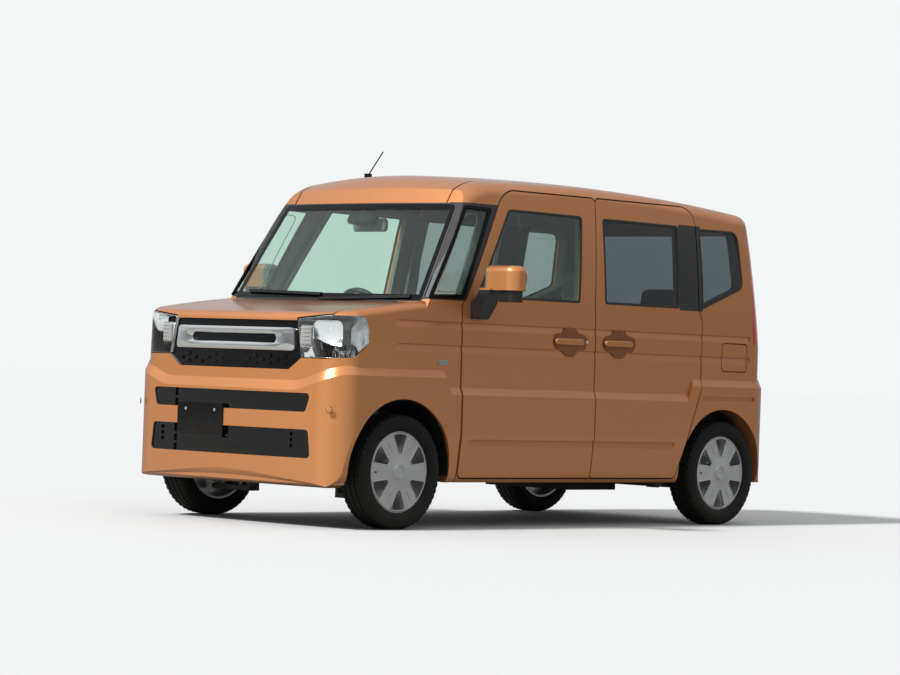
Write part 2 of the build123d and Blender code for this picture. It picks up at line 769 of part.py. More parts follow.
# Shell under the panels
floor_z = 240
floor_top = 256
rear_floor_z = 400
rear_floor_top = 416
rear_step_x = -905
rear_wall_x = -1586
firewall_x = 1012
firewall_front = 1030
toe_x = 830
toe_front = 845
toe_y = 385
well_y = 534
floor_half_width = 545
rear_floor = common(form_pillar, block(rear_wall_x + 20, rear_step_x - 16, -far, far, rear_floor_z, rear_floor_top))
cabin_floor = joined(
    block(rear_step_x, firewall_front, -floor_half_width, floor_half_width, floor_z, floor_top),
    block(rear_step_x - 16, rear_step_x, -floor_half_width, floor_half_width, floor_z, rear_floor_top),
    block(rear_wall_x, rear_wall_x + 20, -floor_half_width, floor_half_width, rear_floor_z, 575), rear_floor)
toe_room = block(toe_front, far, toe_y, far, 0, far)
well = minus(arch(arch_rear, well_y - 10, far, 12), arch(arch_rear, well_y, far))
well = minus(common(form_pillar, well), block(-far, far, 0, 600, 0, rear_floor_z))

with BuildPart() as floor_pan:
    add(cabin_floor)
    add(paired(toe_room), mode=Mode.SUBTRACT)
    add(paired(arch(arch_rear, well_y - 10, far, 12)), mode=Mode.SUBTRACT)
    add(paired(well))
    bracket = block(-far, rear_wall_x, 440, 500, rear_floor_z, 450)
    add(paired(common(form_wing, bracket)))

tower_z = 742
tower_top = 758
kingpin_foot = Vector(1203, 586, 160)
kingpin_head = Vector(1181, 480, 745)
kingpin_way = (kingpin_head - kingpin_foot).normalized()
pin_radius = 11
pin_bore = 11.05


def on_kingpin(z):
    point = kingpin_foot + kingpin_way * ((z - kingpin_foot.Z) / kingpin_way.Z)
    return (point.X, point.Y, point.Z)


with BuildPart() as front_structure:
    half = joined(
        block(firewall_x, firewall_front, 0, 760, 660, 1046),
        block(firewall_x, firewall_front, 0, toe_y, floor_top, 660),
        common(block(toe_x, toe_front, toe_y - 15, 760, floor_top, 660), form_pillar),
        common(block(toe_x, toe_front, toe_y - 15, 760, 645, 660), form_pillar),
        block(toe_front, firewall_front, toe_y - 15, 760, 645, 660),
        block(toe_x, firewall_front, toe_y - 15, toe_y, floor_top, 660),
        block(firewall_front, 1560, 365, 380, 380, 760),
        block(firewall_front, 1620, 340, 380, 380, 460),
        block(1110, 1270, 380, 620, tower_z, tower_top),
        block(firewall_front, 1460, 620, 760, 850, 905),
        block(1190, 1230, 560, 622, tower_z, 905),
        block(1546, 1572, 0, 540, 880, 930),
        block(1546, 1572, 0, 540, 262, 310),
        block(1546, 1572, 470, 520, 300, 890),
        block(1546, 1572, 340, 480, 380, 460),
        block(1600, 1630, 0, 560, 470, 550),
        block(1572, 1600, 430, 470, 480, 540),
        block(1552, 1580, 0, 330, 308, 882))
    half = minus(half, rod(on_kingpin(700), on_kingpin(800), pin_bore))
    buffer = common(rod((1560, 380, 928), (1560, 380, 1100), 12), nose_form(wing_depth + 0.3))
    half = joined(common(half, front_wing), buffer)
    cowl = common(front_skin, joined(block(1000, 1122, 0, 612, 1046, 1104),
                                    block(1000, 1122, 0, roof_joint_y, 1104, 1112)))
    cowl = minus(cowl, windscreen.part, front_fenders.part)
    add(paired(joined(half, cowl)))
    add(headlamps.part, mode=Mode.SUBTRACT)
    add(grille_inserts.part, mode=Mode.SUBTRACT)

# Running gear
with BuildPart() as front_subframe:
    add(block(1120, 1290, -330, 330, 185, 245))
    add(block(1030, 1180, -360, -300, 200, 245))
    add(block(1030, 1180, 300, 360, 200, 245))
    arm = joined(block(1165, 1235, 320, 545, 135, 160), block(1165, 1235, 310, 330, 135, 190),
                 rod((kingpin_foot.X, kingpin_foot.Y, 135), (kingpin_foot.X, kingpin_foot.Y, 160), 26),
                 block(1178, 1228, 540, 590, 135, 160))
    arm = minus(arm, rod(on_kingpin(100), on_kingpin(200), pin_bore))
    add(paired(arm))
    post = block(1120, 1180, 340, 380, 245, 380)
    add(paired(post))

spindle_radius = 18
hub_bore = 18.05


def knuckle():
    hub_z = tyre_radius
    with BuildPart() as solid:
        add(rod(on_kingpin(168), on_kingpin(640), 22))
        add(rod(on_kingpin(132), on_kingpin(170), pin_radius))
        add(rod(on_kingpin(639), on_kingpin(775), pin_radius))
        add(disc(axle_front_x, 558, 600, hub_z, 58))
        add(disc(axle_front_x, 600, 688, hub_z, spindle_radius))
    return solid.part


with BuildPart() as knuckle_left:
    add(knuckle())
with BuildPart() as knuckle_right:
    add(mirrored(knuckle_left.part), clean=False)

with BuildPart() as rear_axle:
    add(disc(-1165, -510, 510, 215, 28))
    carrier = joined(block(-1300, -945, 500, 524, 200, 258), disc(axle_rear_x, 500, 600, tyre_radius, 52),
                     disc(axle_rear_x, 600, 688, tyre_radius, spindle_radius),
                     block(-1200, -1120, 380, 505, 232, 250),
                     rod((-1160, 430, 248), (-1160, 430, rear_floor_z), 42),
                     disc(-945, 470, 545, 214, 22), block(-965, -935, 525, 545, 214, rear_floor_z))
    add(paired(carrier))

wheel_inner_y = 574
wheel_outer_y = 714
rim_wall = 11
cover_spokes = 6
cover_opening = outline([(90, -12, 11), (90, 12, 11), (230, 72), (230, -72)])
opening_outer_radius = 188
groove_width = 5
groove_depth = 2.5
groove_start = 112


def wheel_cover(x):
    centre = Plane(origin=(x, 0, tyre_radius), x_dir=(1, 0, 0), z_dir=(0, 0, 1))
    face_y = wheel_outer_y
    with BuildPart() as solid:
        with BuildSketch(centre):
            with BuildLine():
                Polyline((0, face_y - 12), (0, face_y - 4), (30, face_y - 4), (32, face_y - 2), (37, face_y - 2),
                         (40, face_y - 5), (84, face_y - 1), (150, face_y - 1), (186, face_y - 5),
                         (rim_radius - 0.5, face_y - 9), (rim_radius - 0.5, face_y - 16), (186, face_y - 16),
                         (150, face_y - 12), close=True)
            make_face()
        revolve(axis=Axis((x, 0, tyre_radius), (0, 1, 0)))
        with BuildSketch(Plane(origin=(x, face_y + 5, tyre_radius), x_dir=(1, 0, 0), z_dir=(0, -1, 0))):
            with PolarLocations(0, cover_spokes, start_angle=180 / cover_spokes):
                add(cover_opening)
            Circle(opening_outer_radius, mode=Mode.INTERSECT)
        extrude(amount=40, mode=Mode.SUBTRACT)
        with BuildSketch(Plane(origin=(x, face_y - 1 - groove_depth, tyre_radius), x_dir=(1, 0, 0), z_dir=(0, 1, 0))):
            with PolarLocations((groove_start + rim_radius) / 2, cover_spokes):
                Rectangle(rim_radius - groove_start, groove_width)
        extrude(amount=20, mode=Mode.SUBTRACT)
    return solid.part


def wheel(x):
    with BuildPart() as solid:
        add(disc(x, wheel_inner_y, wheel_outer_y - 8, tyre_radius, rim_radius))
        add(disc(x, wheel_inner_y, wheel_outer_y - 8, tyre_radius, rim_radius - rim_wall), mode=Mode.SUBTRACT)
        add(disc(x, 640, 648, tyre_radius, rim_radius - rim_wall + 1))
        add(disc(x, 612, 660, tyre_radius, 62))
        add(wheel_cover(x))
        add(disc(x, 600, 690, tyre_radius, hub_bore), mode=Mode.SUBTRACT)
    return solid.part


def tyre(x):
    section = Plane(origin=(x, tyre_centre_y, tyre_radius), x_dir=(1, 0, 0), z_dir=(0, 0, 1))
    half = tyre_width / 2
    with BuildPart() as solid:
        with BuildSketch(section):
            add(outline([(rim_radius, half - 15), (rim_radius + 39, half + 3, 50), (tyre_radius, half - 12, 22),
                         (tyre_radius, 12 - half, 22), (rim_radius + 39, -half - 3, 50), (rim_radius, 15 - half)]))
        revolve(axis=Axis((x, 0, tyre_radius), (0, 1, 0)))
    return solid.part


with BuildPart() as wheel_front_left:
    add(wheel(axle_front_x))
with BuildPart() as wheel_front_right:
    add(mirrored(wheel_front_left.part), clean=False)
with BuildPart() as wheel_rear_left:
    add(wheel(axle_rear_x))
with BuildPart() as wheel_rear_right:
    add(mirrored(wheel_rear_left.part), clean=False)
with BuildPart() as tyre_front_left:
    add(tyre(axle_front_x))
with BuildPart() as tyre_front_right:
    add(mirrored(tyre_front_left.part), clean=False)
with BuildPart() as tyre_rear_left:
    add(tyre(axle_rear_x))
with BuildPart() as tyre_rear_right:
    add(mirrored(tyre_rear_left.part), clean=False)

with BuildPart() as engine_block:
    add(block(1060, 1500, -330, 330, 245, 740))
    add(block(1120, 1290, -330, 330, 0, 245), mode=Mode.SUBTRACT)

with BuildPart() as fuel_tank:
    add(block(-880, -500, -300, 300, 168, floor_z))

with BuildPart() as exhaust:
    pipe_radius = 20
    add(rod((1010, -150, 205), (-1000, -250, 205), pipe_radius))
    with Locations((-1000, -250, 205)):
        Sphere(pipe_radius)
    add(rod((-1000, -250, 205), (-1090, -270, 320), pipe_radius))
    with Locations((-1090, -270, 320)):
        Sphere(pipe_radius)
    add(rod((-1090, -270, 320), (-1350, -300, 320), pipe_radius))
    add(rod((-1340, -300, 320), (-1560, -300, 320), 62))
    add(rod((-1560, -300, 320), (-1650, -300, 290), pipe_radius))
    add(block(440, 460, -190, -170, 205, floor_z))
    add(block(-420, -400, -230, -210, 205, floor_z))
    add(block(-1460, -1440, -310, -290, 370, rear_floor_z))
    add(fuel_tank.part, mode=Mode.SUBTRACT)

# Inside
with BuildPart() as dashboard:
    profile = outline([(1012, 1040), (700, 1052, 30), (640, 980, 30), (660, 820, 30), (760, 700, 30), (1012, 680)])
    add(common(across(profile, -760, 760), form_pillar))
    add(front_structure.part, mode=Mode.SUBTRACT)
    column = rod((700, -330, 900), (500, -330, 985), 38)
    add(column)
    column_way = (Vector(500, -330, 985) - Vector(700, -330, 900)).normalized()
    column_end = Vector(500, -330, 985)
    inner = column_end - column_way * 160
    add(rod(tuple(inner), tuple(column_end + column_way * 5), 12.05), mode=Mode.SUBTRACT)

with BuildPart() as steering_wheel:
    hub = column_end + column_way * 70
    way = column_way
    plane = Plane(origin=hub, z_dir=way)
    with BuildSketch(plane):
        Circle(184)
        Circle(160, mode=Mode.SUBTRACT)
        Circle(58)
        Rectangle(330, 30)
    extrude(amount=22, both=True)
    back = column_end - column_way * 150
    add(rod(tuple(back), tuple(hub), 12))

with BuildPart() as front_seats:
    cushion = outline([(190, 430, 40), (190, 560, 40), (-330, 600, 40), (-420, 1130, 40), (-520, 1130, 40),
                       (-430, 430, 40)])
    rest = outline([(-428, 1160, 20), (-452, 1320, 40), (-540, 1320, 40), (-520, 1160, 20)])
    one = joined(across(cushion, 110, 590), across(rest, 230, 470), block(-492, -478, 290, 305, 1120, 1170),
                 block(-492, -478, 395, 410, 1120, 1170), block(-340, 120, 150, 535, floor_top, 440))
    add(paired(one))

with BuildPart() as rear_seat:
    bench = outline([(-600, 440, 40), (-600, 560, 40), (-1070, 590, 40), (-1150, 1120, 40), (-1240, 1120, 40),
                     (-1160, 440, 10)])
    add(across(bench, -520, 520))
    add(block(-880, -640, -480, 480, floor_top, 450))
    add(block(-1100, -930, -480, 480, rear_floor_top, 450))
    for side in (-1, 1):
        add(block(-1245, -1165, side * 290 - 130, side * 290 + 130, 1135, 1260))
        add(block(-1215, -1200, side * 290 - 60, side * 290 - 45, 1110, 1140))
        add(block(-1215, -1200, side * 290 + 45, side * 290 + 60, 1110, 1140))

# Small pieces outside
form_over = cabin_form(-13)
with BuildPart() as wipers:
    blades = [outline([(600, 1128), (600, 1142), (20, 1122), (20, 1108)]),
              outline([(20, 1132), (20, 1146), (-560, 1160), (-560, 1146)])]
    add(minus(common(form_over, joined(*[along(blade, 900, 1300) for blade in blades])), form_skin))
with BuildPart() as rear_wiper:
    strip = outline([(-20, 1090), (360, 1150), (360, 1164), (-20, 1112)])
    add(minus(common(form_over, along(strip, -1720, -1400)), form_skin))
with BuildPart() as antenna:
    add(rod((433, -350, 1755), (433, -350, 1790), 20))
    add(rod((433, -350, 1780), (329, -350, 1912), 3.5))
    add(form_skin, mode=Mode.SUBTRACT)


def mirror_piece():
    housing = outline([(735, 778, 36), (735, 985, 60), (630, 995, 30), (630, 778, 20)])
    lower = outline([(720, 868, 24), (720, 972, 40), (640, 978, 20), (640, 868, 16)])
    stalk = outline([(690, 1035), (752, 1035, 24), (800, 1100, 40), (846, 1190), (772, 1190), (742, 1135, 24),
                     (690, 1118)])
    with BuildPart() as solid:
        add(upward(housing, 1179, 1303))
        fillet(solid.faces().sort_by(Axis.Z)[-1].edges(), 34)
        add(upward(lower, 1123, 1190))
        add(along(stalk, 652, 742))
        add(form_skin, mode=Mode.SUBTRACT)
    return solid.part


with BuildPart() as mirror_left:
    add(mirror_piece())
with BuildPart() as mirror_right:
    add(mirrored(mirror_left.part), clean=False)

floor_pan.part.label = "floor_pan"
front_structure.part.label = "front_structure"
body_side_left.part.label = "body_side_left"
body_side_right.part.label = "body_side_right"
roof_panel.part.label = "roof_panel"
front_fenders.part.label = "front_fenders"
front_bumper.part.label = "front_bumper"
grille_bar.part.label = "grille_bar"
grille_inserts.part.label = "grille_inserts"
headlamps.part.label = "headlamps"
windscreen.part.label = "windscreen"
fixed_side_glass.part.label = "fixed_side_glass"
rear_door_left.part.label = "rear_door_left"
rear_door_right.part.label = "rear_door_right"
rear_bumper.part.label = "rear_bumper"
tail_lamps.part.label = "tail_lamps"
dashboard.part.label = "dashboard"
front_seats.part.label = "front_seats"
rear_seat.part.label = "rear_seat"
engine_block.part.label = "engine_block"
fuel_tank.part.label = "fuel_tank"
rear_axle.part.label = "rear_axle"
front_subframe.part.label = "front_subframe"
exhaust.part.label = "exhaust"
wipers.part.label = "wipers"
antenna.part.label = "antenna"
bonnet.part.label = "bonnet"
tailgate.part.label = "tailgate"
tailgate_glass.part.label = "tailgate_glass"
rear_wiper.part.label = "rear_wiper"
front_door_left.part.label = "front_door_left"
front_door_right.part.label = "front_door_right"
front_door_glass_left.part.label = "front_door_glass_left"
front_door_glass_right.part.label = "front_door_glass_right"
mirror_left.part.label = "mirror_left"
mirror_right.part.label = "mirror_right"
fuel_flap.part.label = "fuel_flap"
steering_wheel.part.label = "steering_wheel"
knuckle_left.part.label = "knuckle_left"
knuckle_right.part.label = "knuckle_right"
wheel_front_left.part.label = "wheel_front_left"
wheel_front_right.part.label = "wheel_front_right"
wheel_rear_left.part.label = "wheel_rear_left"
wheel_rear_right.part.label = "wheel_rear_right"
tyre_front_left.part.label = "tyre_front_left"
tyre_front_right.part.label = "tyre_front_right"
tyre_rear_left.part.label = "tyre_rear_left"
tyre_rear_right.part.label = "tyre_rear_right"

export_step(floor_pan.part, "parts/floor_pan.step")
export_step(front_structure.part, "parts/front_structure.step")
export_step(body_side_left.part, "parts/body_side_left.step")
export_step(body_side_right.part, "parts/body_side_right.step")
export_step(roof_panel.part, "parts/roof_panel.step")
export_step(front_fenders.part, "parts/front_fenders.step")
export_step(front_bumper.part, "parts/front_bumper.step")
export_step(grille_bar.part, "parts/grille_bar.step")
export_step(grille_inserts.part, "parts/grille_inserts.step")
export_step(headlamps.part, "parts/headlamps.step")
export_step(windscreen.part, "parts/windscreen.step")
export_step(fixed_side_glass.part, "parts/fixed_side_glass.step")
export_step(rear_door_left.part, "parts/rear_door_left.step")
export_step(rear_door_right.part, "parts/rear_door_right.step")
export_step(rear_bumper.part, "parts/rear_bumper.step")
export_step(tail_lamps.part, "parts/tail_lamps.step")
export_step(dashboard.part, "parts/dashboard.step")
export_step(front_seats.part, "parts/front_seats.step")
export_step(rear_seat.part, "parts/rear_seat.step")
export_step(engine_block.part, "parts/engine_block.step")
export_step(fuel_tank.part, "parts/fuel_tank.step")
export_step(rear_axle.part, "parts/rear_axle.step")
export_step(front_subframe.part, "parts/front_subframe.step")
export_step(exhaust.part, "parts/exhaust.step")
export_step(wipers.part, "parts/wipers.step")
export_step(antenna.part, "parts/antenna.step")
export_step(bonnet.part, "parts/bonnet.step")
export_step(tailgate.part, "parts/tailgate.step")
export_step(tailgate_glass.part, "parts/tailgate_glass.step")
export_step(rear_wiper.part, "parts/rear_wiper.step")
export_step(front_door_left.part, "parts/front_door_left.step")
export_step(front_door_right.part, "parts/front_door_right.step")
export_step(front_door_glass_left.part, "parts/front_door_glass_left.step")
export_step(front_door_glass_right.part, "parts/front_door_glass_right.step")
export_step(mirror_left.part, "parts/mirror_left.step")
export_step(mirror_right.part, "parts/mirror_right.step")
export_step(fuel_flap.part, "parts/fuel_flap.step")
export_step(steering_wheel.part, "parts/steering_wheel.step")
export_step(knuckle_left.part, "parts/knuckle_left.step")
export_step(knuckle_right.part, "parts/knuckle_right.step")
export_step(wheel_front_left.part, "parts/wheel_front_left.step")
export_step(wheel_front_right.part, "parts/wheel_front_right.step")
export_step(wheel_rear_left.part, "parts/wheel_rear_left.step")
export_step(wheel_rear_right.part, "parts/wheel_rear_right.step")
export_step(tyre_front_left.part, "parts/tyre_front_left.step")
export_step(tyre_front_right.part, "parts/tyre_front_right.step")
export_step(tyre_rear_left.part, "parts/tyre_rear_left.step")
export_step(tyre_rear_right.part, "parts/tyre_rear_right.step")
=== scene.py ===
import bmesh
import bpy
import math
import numpy as np
from mathutils import Matrix, Vector


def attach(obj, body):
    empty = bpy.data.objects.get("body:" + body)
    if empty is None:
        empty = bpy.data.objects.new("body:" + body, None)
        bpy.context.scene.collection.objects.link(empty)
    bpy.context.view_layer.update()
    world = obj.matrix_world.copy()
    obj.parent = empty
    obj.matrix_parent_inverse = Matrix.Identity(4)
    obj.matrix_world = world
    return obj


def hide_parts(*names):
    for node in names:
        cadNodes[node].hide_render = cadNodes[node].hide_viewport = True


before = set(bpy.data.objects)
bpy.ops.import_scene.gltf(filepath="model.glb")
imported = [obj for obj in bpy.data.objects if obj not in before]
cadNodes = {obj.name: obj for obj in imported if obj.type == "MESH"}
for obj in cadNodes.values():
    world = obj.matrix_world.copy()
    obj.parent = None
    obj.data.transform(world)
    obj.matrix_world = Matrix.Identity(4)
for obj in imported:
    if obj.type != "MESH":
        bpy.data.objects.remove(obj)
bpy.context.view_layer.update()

print("frame loaded,", len(cadNodes), "nodes")

# The camera of the photograph: place in metres, angles in degrees
cameraPlace = {"x": 12.3466, "y": 11.6645, "z": 0.7919, "yaw": 43.6866, "pitch": 0.5341, "roll": 2.0981,
               "lens": 129.384}


def placeCamera(c):
    yaw, pitch, roll = (math.radians(c[k]) for k in ("yaw", "pitch", "roll"))
    look = Vector((-math.cos(yaw) * math.cos(pitch), -math.sin(yaw) * math.cos(pitch), math.sin(pitch)))
    right = look.cross(Vector((0, 0, 1))).normalized()
    up = right.cross(look)
    turnedRight = right * math.cos(roll) + up * math.sin(roll)
    turnedUp = up * math.cos(roll) - right * math.sin(roll)
    data = bpy.data.cameras.new("photoCamera")
    data.lens = c["lens"]
    data.sensor_width = 36
    data.clip_end = 200
    camera = bpy.data.objects.new("photoCamera", data)
    axes = Matrix((turnedRight, turnedUp, -look)).transposed().to_4x4()
    camera.matrix_world = Matrix.Translation((c["x"], c["y"], c["z"])) @ axes
    bpy.context.collection.objects.link(camera)
    bpy.context.scene.camera = camera


placeCamera(cameraPlace)
bpy.context.scene.view_settings.view_transform = "Standard"
print("camera placed")


# Shader helpers: one node with its input values, and one link
def shaderNode(tree, kind, values=None, **settings):
    n = tree.nodes.new("ShaderNode" + kind)
    for k, v in settings.items():
        setattr(n, k, v)
    for k, v in (values or {}).items():
        n.inputs[k].default_value = v
    return n


def wire(tree, source, target):
    tree.links.new(source, target)


def mathNode(tree, operation, a, b=None, clamp=False):
    n = shaderNode(tree, "Math", operation=operation, use_clamp=clamp)
    for i, v in enumerate((a, b)):
        if isinstance(v, (int, float)):
            n.inputs[i].default_value = v
        elif v is not None:
            wire(tree, v, n.inputs[i])
    return n.outputs[0]


def times(tree, a, b, clamp=False):
    return mathNode(tree, "MULTIPLY", a, b, clamp)


def plus(tree, a, b):
    return mathNode(tree, "ADD", a, b)


def minus(tree, a, b):
    return mathNode(tree, "SUBTRACT", a, b)


def above(tree, a, b):
    return mathNode(tree, "GREATER_THAN", a, b)


def below(tree, a, b):
    return mathNode(tree, "LESS_THAN", a, b)


def mixColours(tree, factor, a, b):
    n = shaderNode(tree, "Mix", data_type="RGBA")
    for socket, v in ((n.inputs["Factor"], factor), (n.inputs[6], a), (n.inputs[7], b)):
        if isinstance(v, (int, float)):
            socket.default_value = v
        elif isinstance(v, (tuple, list)):
            socket.default_value = (*v, 1)
        else:
            wire(tree, v, socket)
    return n.outputs[2]


def newGroup(name, inputs, outputs):
    g = bpy.data.node_groups.new(name, "ShaderNodeTree")
    for n, kind, value in inputs:
        s = g.interface.new_socket(name=n, in_out="INPUT", socket_type="NodeSocket" + kind)
        s.default_value = value
    for n, kind in outputs:
        g.interface.new_socket(name=n, in_out="OUTPUT", socket_type="NodeSocket" + kind)
    return g, g.nodes.new("NodeGroupInput"), g.nodes.new("NodeGroupOutput")


def placeGroup(tree, group, **values):
    n = tree.nodes.new("ShaderNodeGroup")
    n.node_tree = group
    for k, v in values.items():
        n.inputs[k].default_value = v
    return n


# Metal flakes and the faint ripple of sprayed paint: small cells of random brightness, and a low wide bump
def makeFlakes():
    g, i, o = newGroup("paintFlakes", [("Scale", "Float", 900.0), ("Amount", "Float", 0.12), ("Ripple",
        "Float", 0.02)], [("Shade", "Float"), ("Normal", "Vector")])
    place = shaderNode(g, "TexCoord").outputs["Object"]
    cells = shaderNode(g, "TexVoronoi")
    wire(g, place, cells.inputs["Vector"])
    wire(g, i.outputs["Scale"], cells.inputs["Scale"])
    grey = shaderNode(g, "SeparateColor")
    wire(g, cells.outputs["Color"], grey.inputs[0])
    swing = times(g, minus(g, grey.outputs[0], 0.5), i.outputs["Amount"])
    drift = shaderNode(g, "TexNoise", {"Scale": 1.3, "Detail": 2.0})
    wire(g, place, drift.inputs["Vector"])
    slow = times(g, minus(g, drift.outputs["Fac"], 0.5), 0.06)
    wire(g, plus(g, plus(g, swing, slow), 0.5), o.inputs["Shade"])
    peel = shaderNode(g, "TexNoise", {"Scale": 190.0, "Detail": 2.0})
    wire(g, place, peel.inputs["Vector"])
    bump = shaderNode(g, "Bump", {"Distance": 0.001})
    wire(g, i.outputs["Ripple"], bump.inputs["Strength"])
    wire(g, peel.outputs["Fac"], bump.inputs["Height"])
    wire(g, bump.outputs[0], o.inputs["Normal"])
    return g


# Moulded grain: fine cells for leather-like plastic, with a slow change of tone
def makeGrain():
    g, i, o = newGroup("mouldedGrain", [("Scale", "Float", 600.0), ("Depth", "Float", 0.25)],
                       [("Tone", "Float"), ("Normal", "Vector")])
    place = shaderNode(g, "TexCoord").outputs["Object"]
    cells = shaderNode(g, "TexVoronoi", feature="SMOOTH_F1")
    wire(g, place, cells.inputs["Vector"])
    wire(g, i.outputs["Scale"], cells.inputs["Scale"])
    bump = shaderNode(g, "Bump", {"Distance": 0.001})
    wire(g, i.outputs["Depth"], bump.inputs["Strength"])
    wire(g, cells.outputs["Distance"], bump.inputs["Height"])
    tone = shaderNode(g, "TexNoise", {"Scale": 9.0, "Detail": 3.0})
    wire(g, place, tone.inputs["Vector"])
    wire(g, tone.outputs["Fac"], o.inputs["Tone"])
    wire(g, bump.outputs[0], o.inputs["Normal"])
    return g


# Road dust: strongest near the ground, fading with height and broken up by noise
def makeDust():
    g, i, o = newGroup("roadDust", [("Top", "Float", 0.45), ("Amount", "Float", 0.25)], [("Mask", "Float")])
    place = shaderNode(g, "TexCoord").outputs["Object"]
    parts = shaderNode(g, "SeparateXYZ")
    wire(g, place, parts.inputs[0])
    low = shaderNode(g, "MapRange", {"From Min": 0.0, "To Min": 1.0, "To Max": 0.0})
    wire(g, parts.outputs["Z"], low.inputs["Value"])
    wire(g, i.outputs["Top"], low.inputs["From Max"])
    spots = shaderNode(g, "TexNoise", {"Scale": 14.0, "Detail": 6.0, "Roughness": 0.65})
    wire(g, place, spots.inputs["Vector"])
    share = times(g, low.outputs[0], times(g, spots.outputs["Fac"], i.outputs["Amount"]))
    wire(g, times(g, share, 1.6, clamp=True), o.inputs["Mask"])
    return g


# Woven cloth: two crossed waves of thread, with a speckle of lighter yarn
def makeWeave():
    g, i, o = newGroup("clothWeave", [("Scale", "Float", 420.0), ("Depth", "Float", 0.5)],
                       [("Tone", "Float"), ("Normal", "Vector")])
    place = shaderNode(g, "TexCoord").outputs["Object"]
    warp = shaderNode(g, "TexWave", {"Distortion": 0.6, "Detail": 1.0}, bands_direction="Y")
    weft = shaderNode(g, "TexWave", {"Distortion": 0.6, "Detail": 1.0}, bands_direction="DIAGONAL")
    for w in (warp, weft):
        wire(g, place, w.inputs["Vector"])
        wire(g, i.outputs["Scale"], w.inputs["Scale"])
    cloth = times(g, warp.outputs["Fac"], weft.outputs["Fac"])
    yarn = shaderNode(g, "TexNoise", {"Scale": 260.0, "Detail": 2.0})
    wire(g, place, yarn.inputs["Vector"])
    wire(g, plus(g, times(g, cloth, 0.5), times(g, yarn.outputs["Fac"], 0.5)),
         o.inputs["Tone"])
    bump = shaderNode(g, "Bump", {"Distance": 0.001})
    wire(g, i.outputs["Depth"], bump.inputs["Strength"])
    wire(g, cloth, bump.inputs["Height"])
    wire(g, bump.outputs[0], o.inputs["Normal"])
    return g


# A band in side view: 1 between two sloping lines x = foot + slope * (z - level) and between two heights
def makeBand():
    g, i, o = newGroup("sideBand",
                       [("Front", "Float", 0.0), ("FrontSlope", "Float", 0.0), ("Rear", "Float", 0.0),
                        ("RearSlope", "Float", 0.0), ("Low", "Float", 0.0), ("High", "Float", 1.0)],
                       [("Mask", "Float")])
    parts = shaderNode(g, "SeparateXYZ")
    wire(g, shaderNode(g, "TexCoord").outputs["Object"], parts.inputs[0])
    x, z = parts.outputs["X"], parts.outputs["Z"]
    rise = minus(g, z, i.outputs["Low"])
    ahead = plus(g, i.outputs["Front"], times(g, rise, i.outputs["FrontSlope"]))
    behind = plus(g, i.outputs["Rear"], times(g, rise, i.outputs["RearSlope"]))
    inside = times(g, below(g, x, ahead), above(g, x, behind))
    level = times(g, above(g, z, i.outputs["Low"]),
                     below(g, z, i.outputs["High"]))
    wire(g, times(g, inside, level), o.inputs["Mask"])
    return g


# The lined side of a panel: 1 where the surface faces the cabin, from the object's own normals. A surface
# faces it
# that turns inward, that looks down from the roof, or that lies in a window's reveal, within the door's
# inner wall
lined = {"inward": -0.25, "down": -0.3, "roofFrom": 1.35, "wall": 0.692, "wallFoot": 1.13, "wallLean": 0.12,
         "glassLow": 1.12, "glassHigh": 1.60, "sideFrom": 0.56, "rearEnd": -1.45}


def makeInside():
    g, i, o = newGroup("cabinSide", [], [("Mask", "Float")])
    coord = shaderNode(g, "TexCoord")
    n = shaderNode(g, "SeparateXYZ")
    wire(g, coord.outputs["Normal"], n.inputs[0])
    p = shaderNode(g, "SeparateXYZ")
    wire(g, coord.outputs["Object"], p.inputs[0])
    inward = below(g, times(g, n.outputs["Y"], mathNode(g, "SIGN", p.outputs["Y"])), lined["inward"])
    under = times(g, below(g, n.outputs["Z"], lined["down"]),
                     above(g, p.outputs["Z"], lined["roofFrom"]))
    lean = times(g, minus(g, p.outputs["Z"], lined["wallFoot"]), lined["wallLean"])
    wall = minus(g, lined["wall"], lean)
    deep = below(g, mathNode(g, "ABSOLUTE", p.outputs["Y"]), wall)
    glazed = times(g, above(g, p.outputs["Z"], lined["glassLow"]),
                      below(g, p.outputs["Z"], lined["glassHigh"]))
    sides = times(g, above(g, mathNode(g, "ABSOLUTE", p.outputs["Y"]), lined["sideFrom"]),
                     above(g, p.outputs["X"], lined["rearEnd"]))
    reveal = times(g, times(g, deep, glazed), sides)
    wire(g, mathNode(g, "MAXIMUM", mathNode(g, "MAXIMUM", inward, under), reveal), o.inputs["Mask"])
    return g


flakes, grain, dust, weave, band, cabinSide = (makeFlakes(), makeGrain(), makeDust(), makeWeave(), makeBand(),
                                               makeInside())
print("shader groups made")


def newMaterial(name, **values):
    m = bpy.data.materials.new(name)
    m.use_nodes = True
    s = m.node_tree.nodes["Principled BSDF"]
    for k, v in values.items():
        socket = s.inputs[k.replace("_", " ")]
        socket.default_value = (*v, 1) if isinstance(v, tuple) and socket.type == "RGBA" else v
    return m, m.node_tree, s


# Body paint: copper pearl under clear coat, black film on the pillars, grey lining on the cabin side.
# Each film band is: front line and its slope, rear line and its slope, low and high end
paint = {"facing": (0.74, 0.30, 0.105), "glancing": (0.20, 0.058, 0.020), "black": (0.012, 0.012, 0.013),
         "lining": (0.13, 0.125, 0.12), "dust": (0.33, 0.24, 0.17), "filmBands": [
             (1.112, -0.631, 0.765, -0.562, 1.122, 1.613), (-0.872, -0.072, -1.068, -0.045, 1.140, 1.596)]}


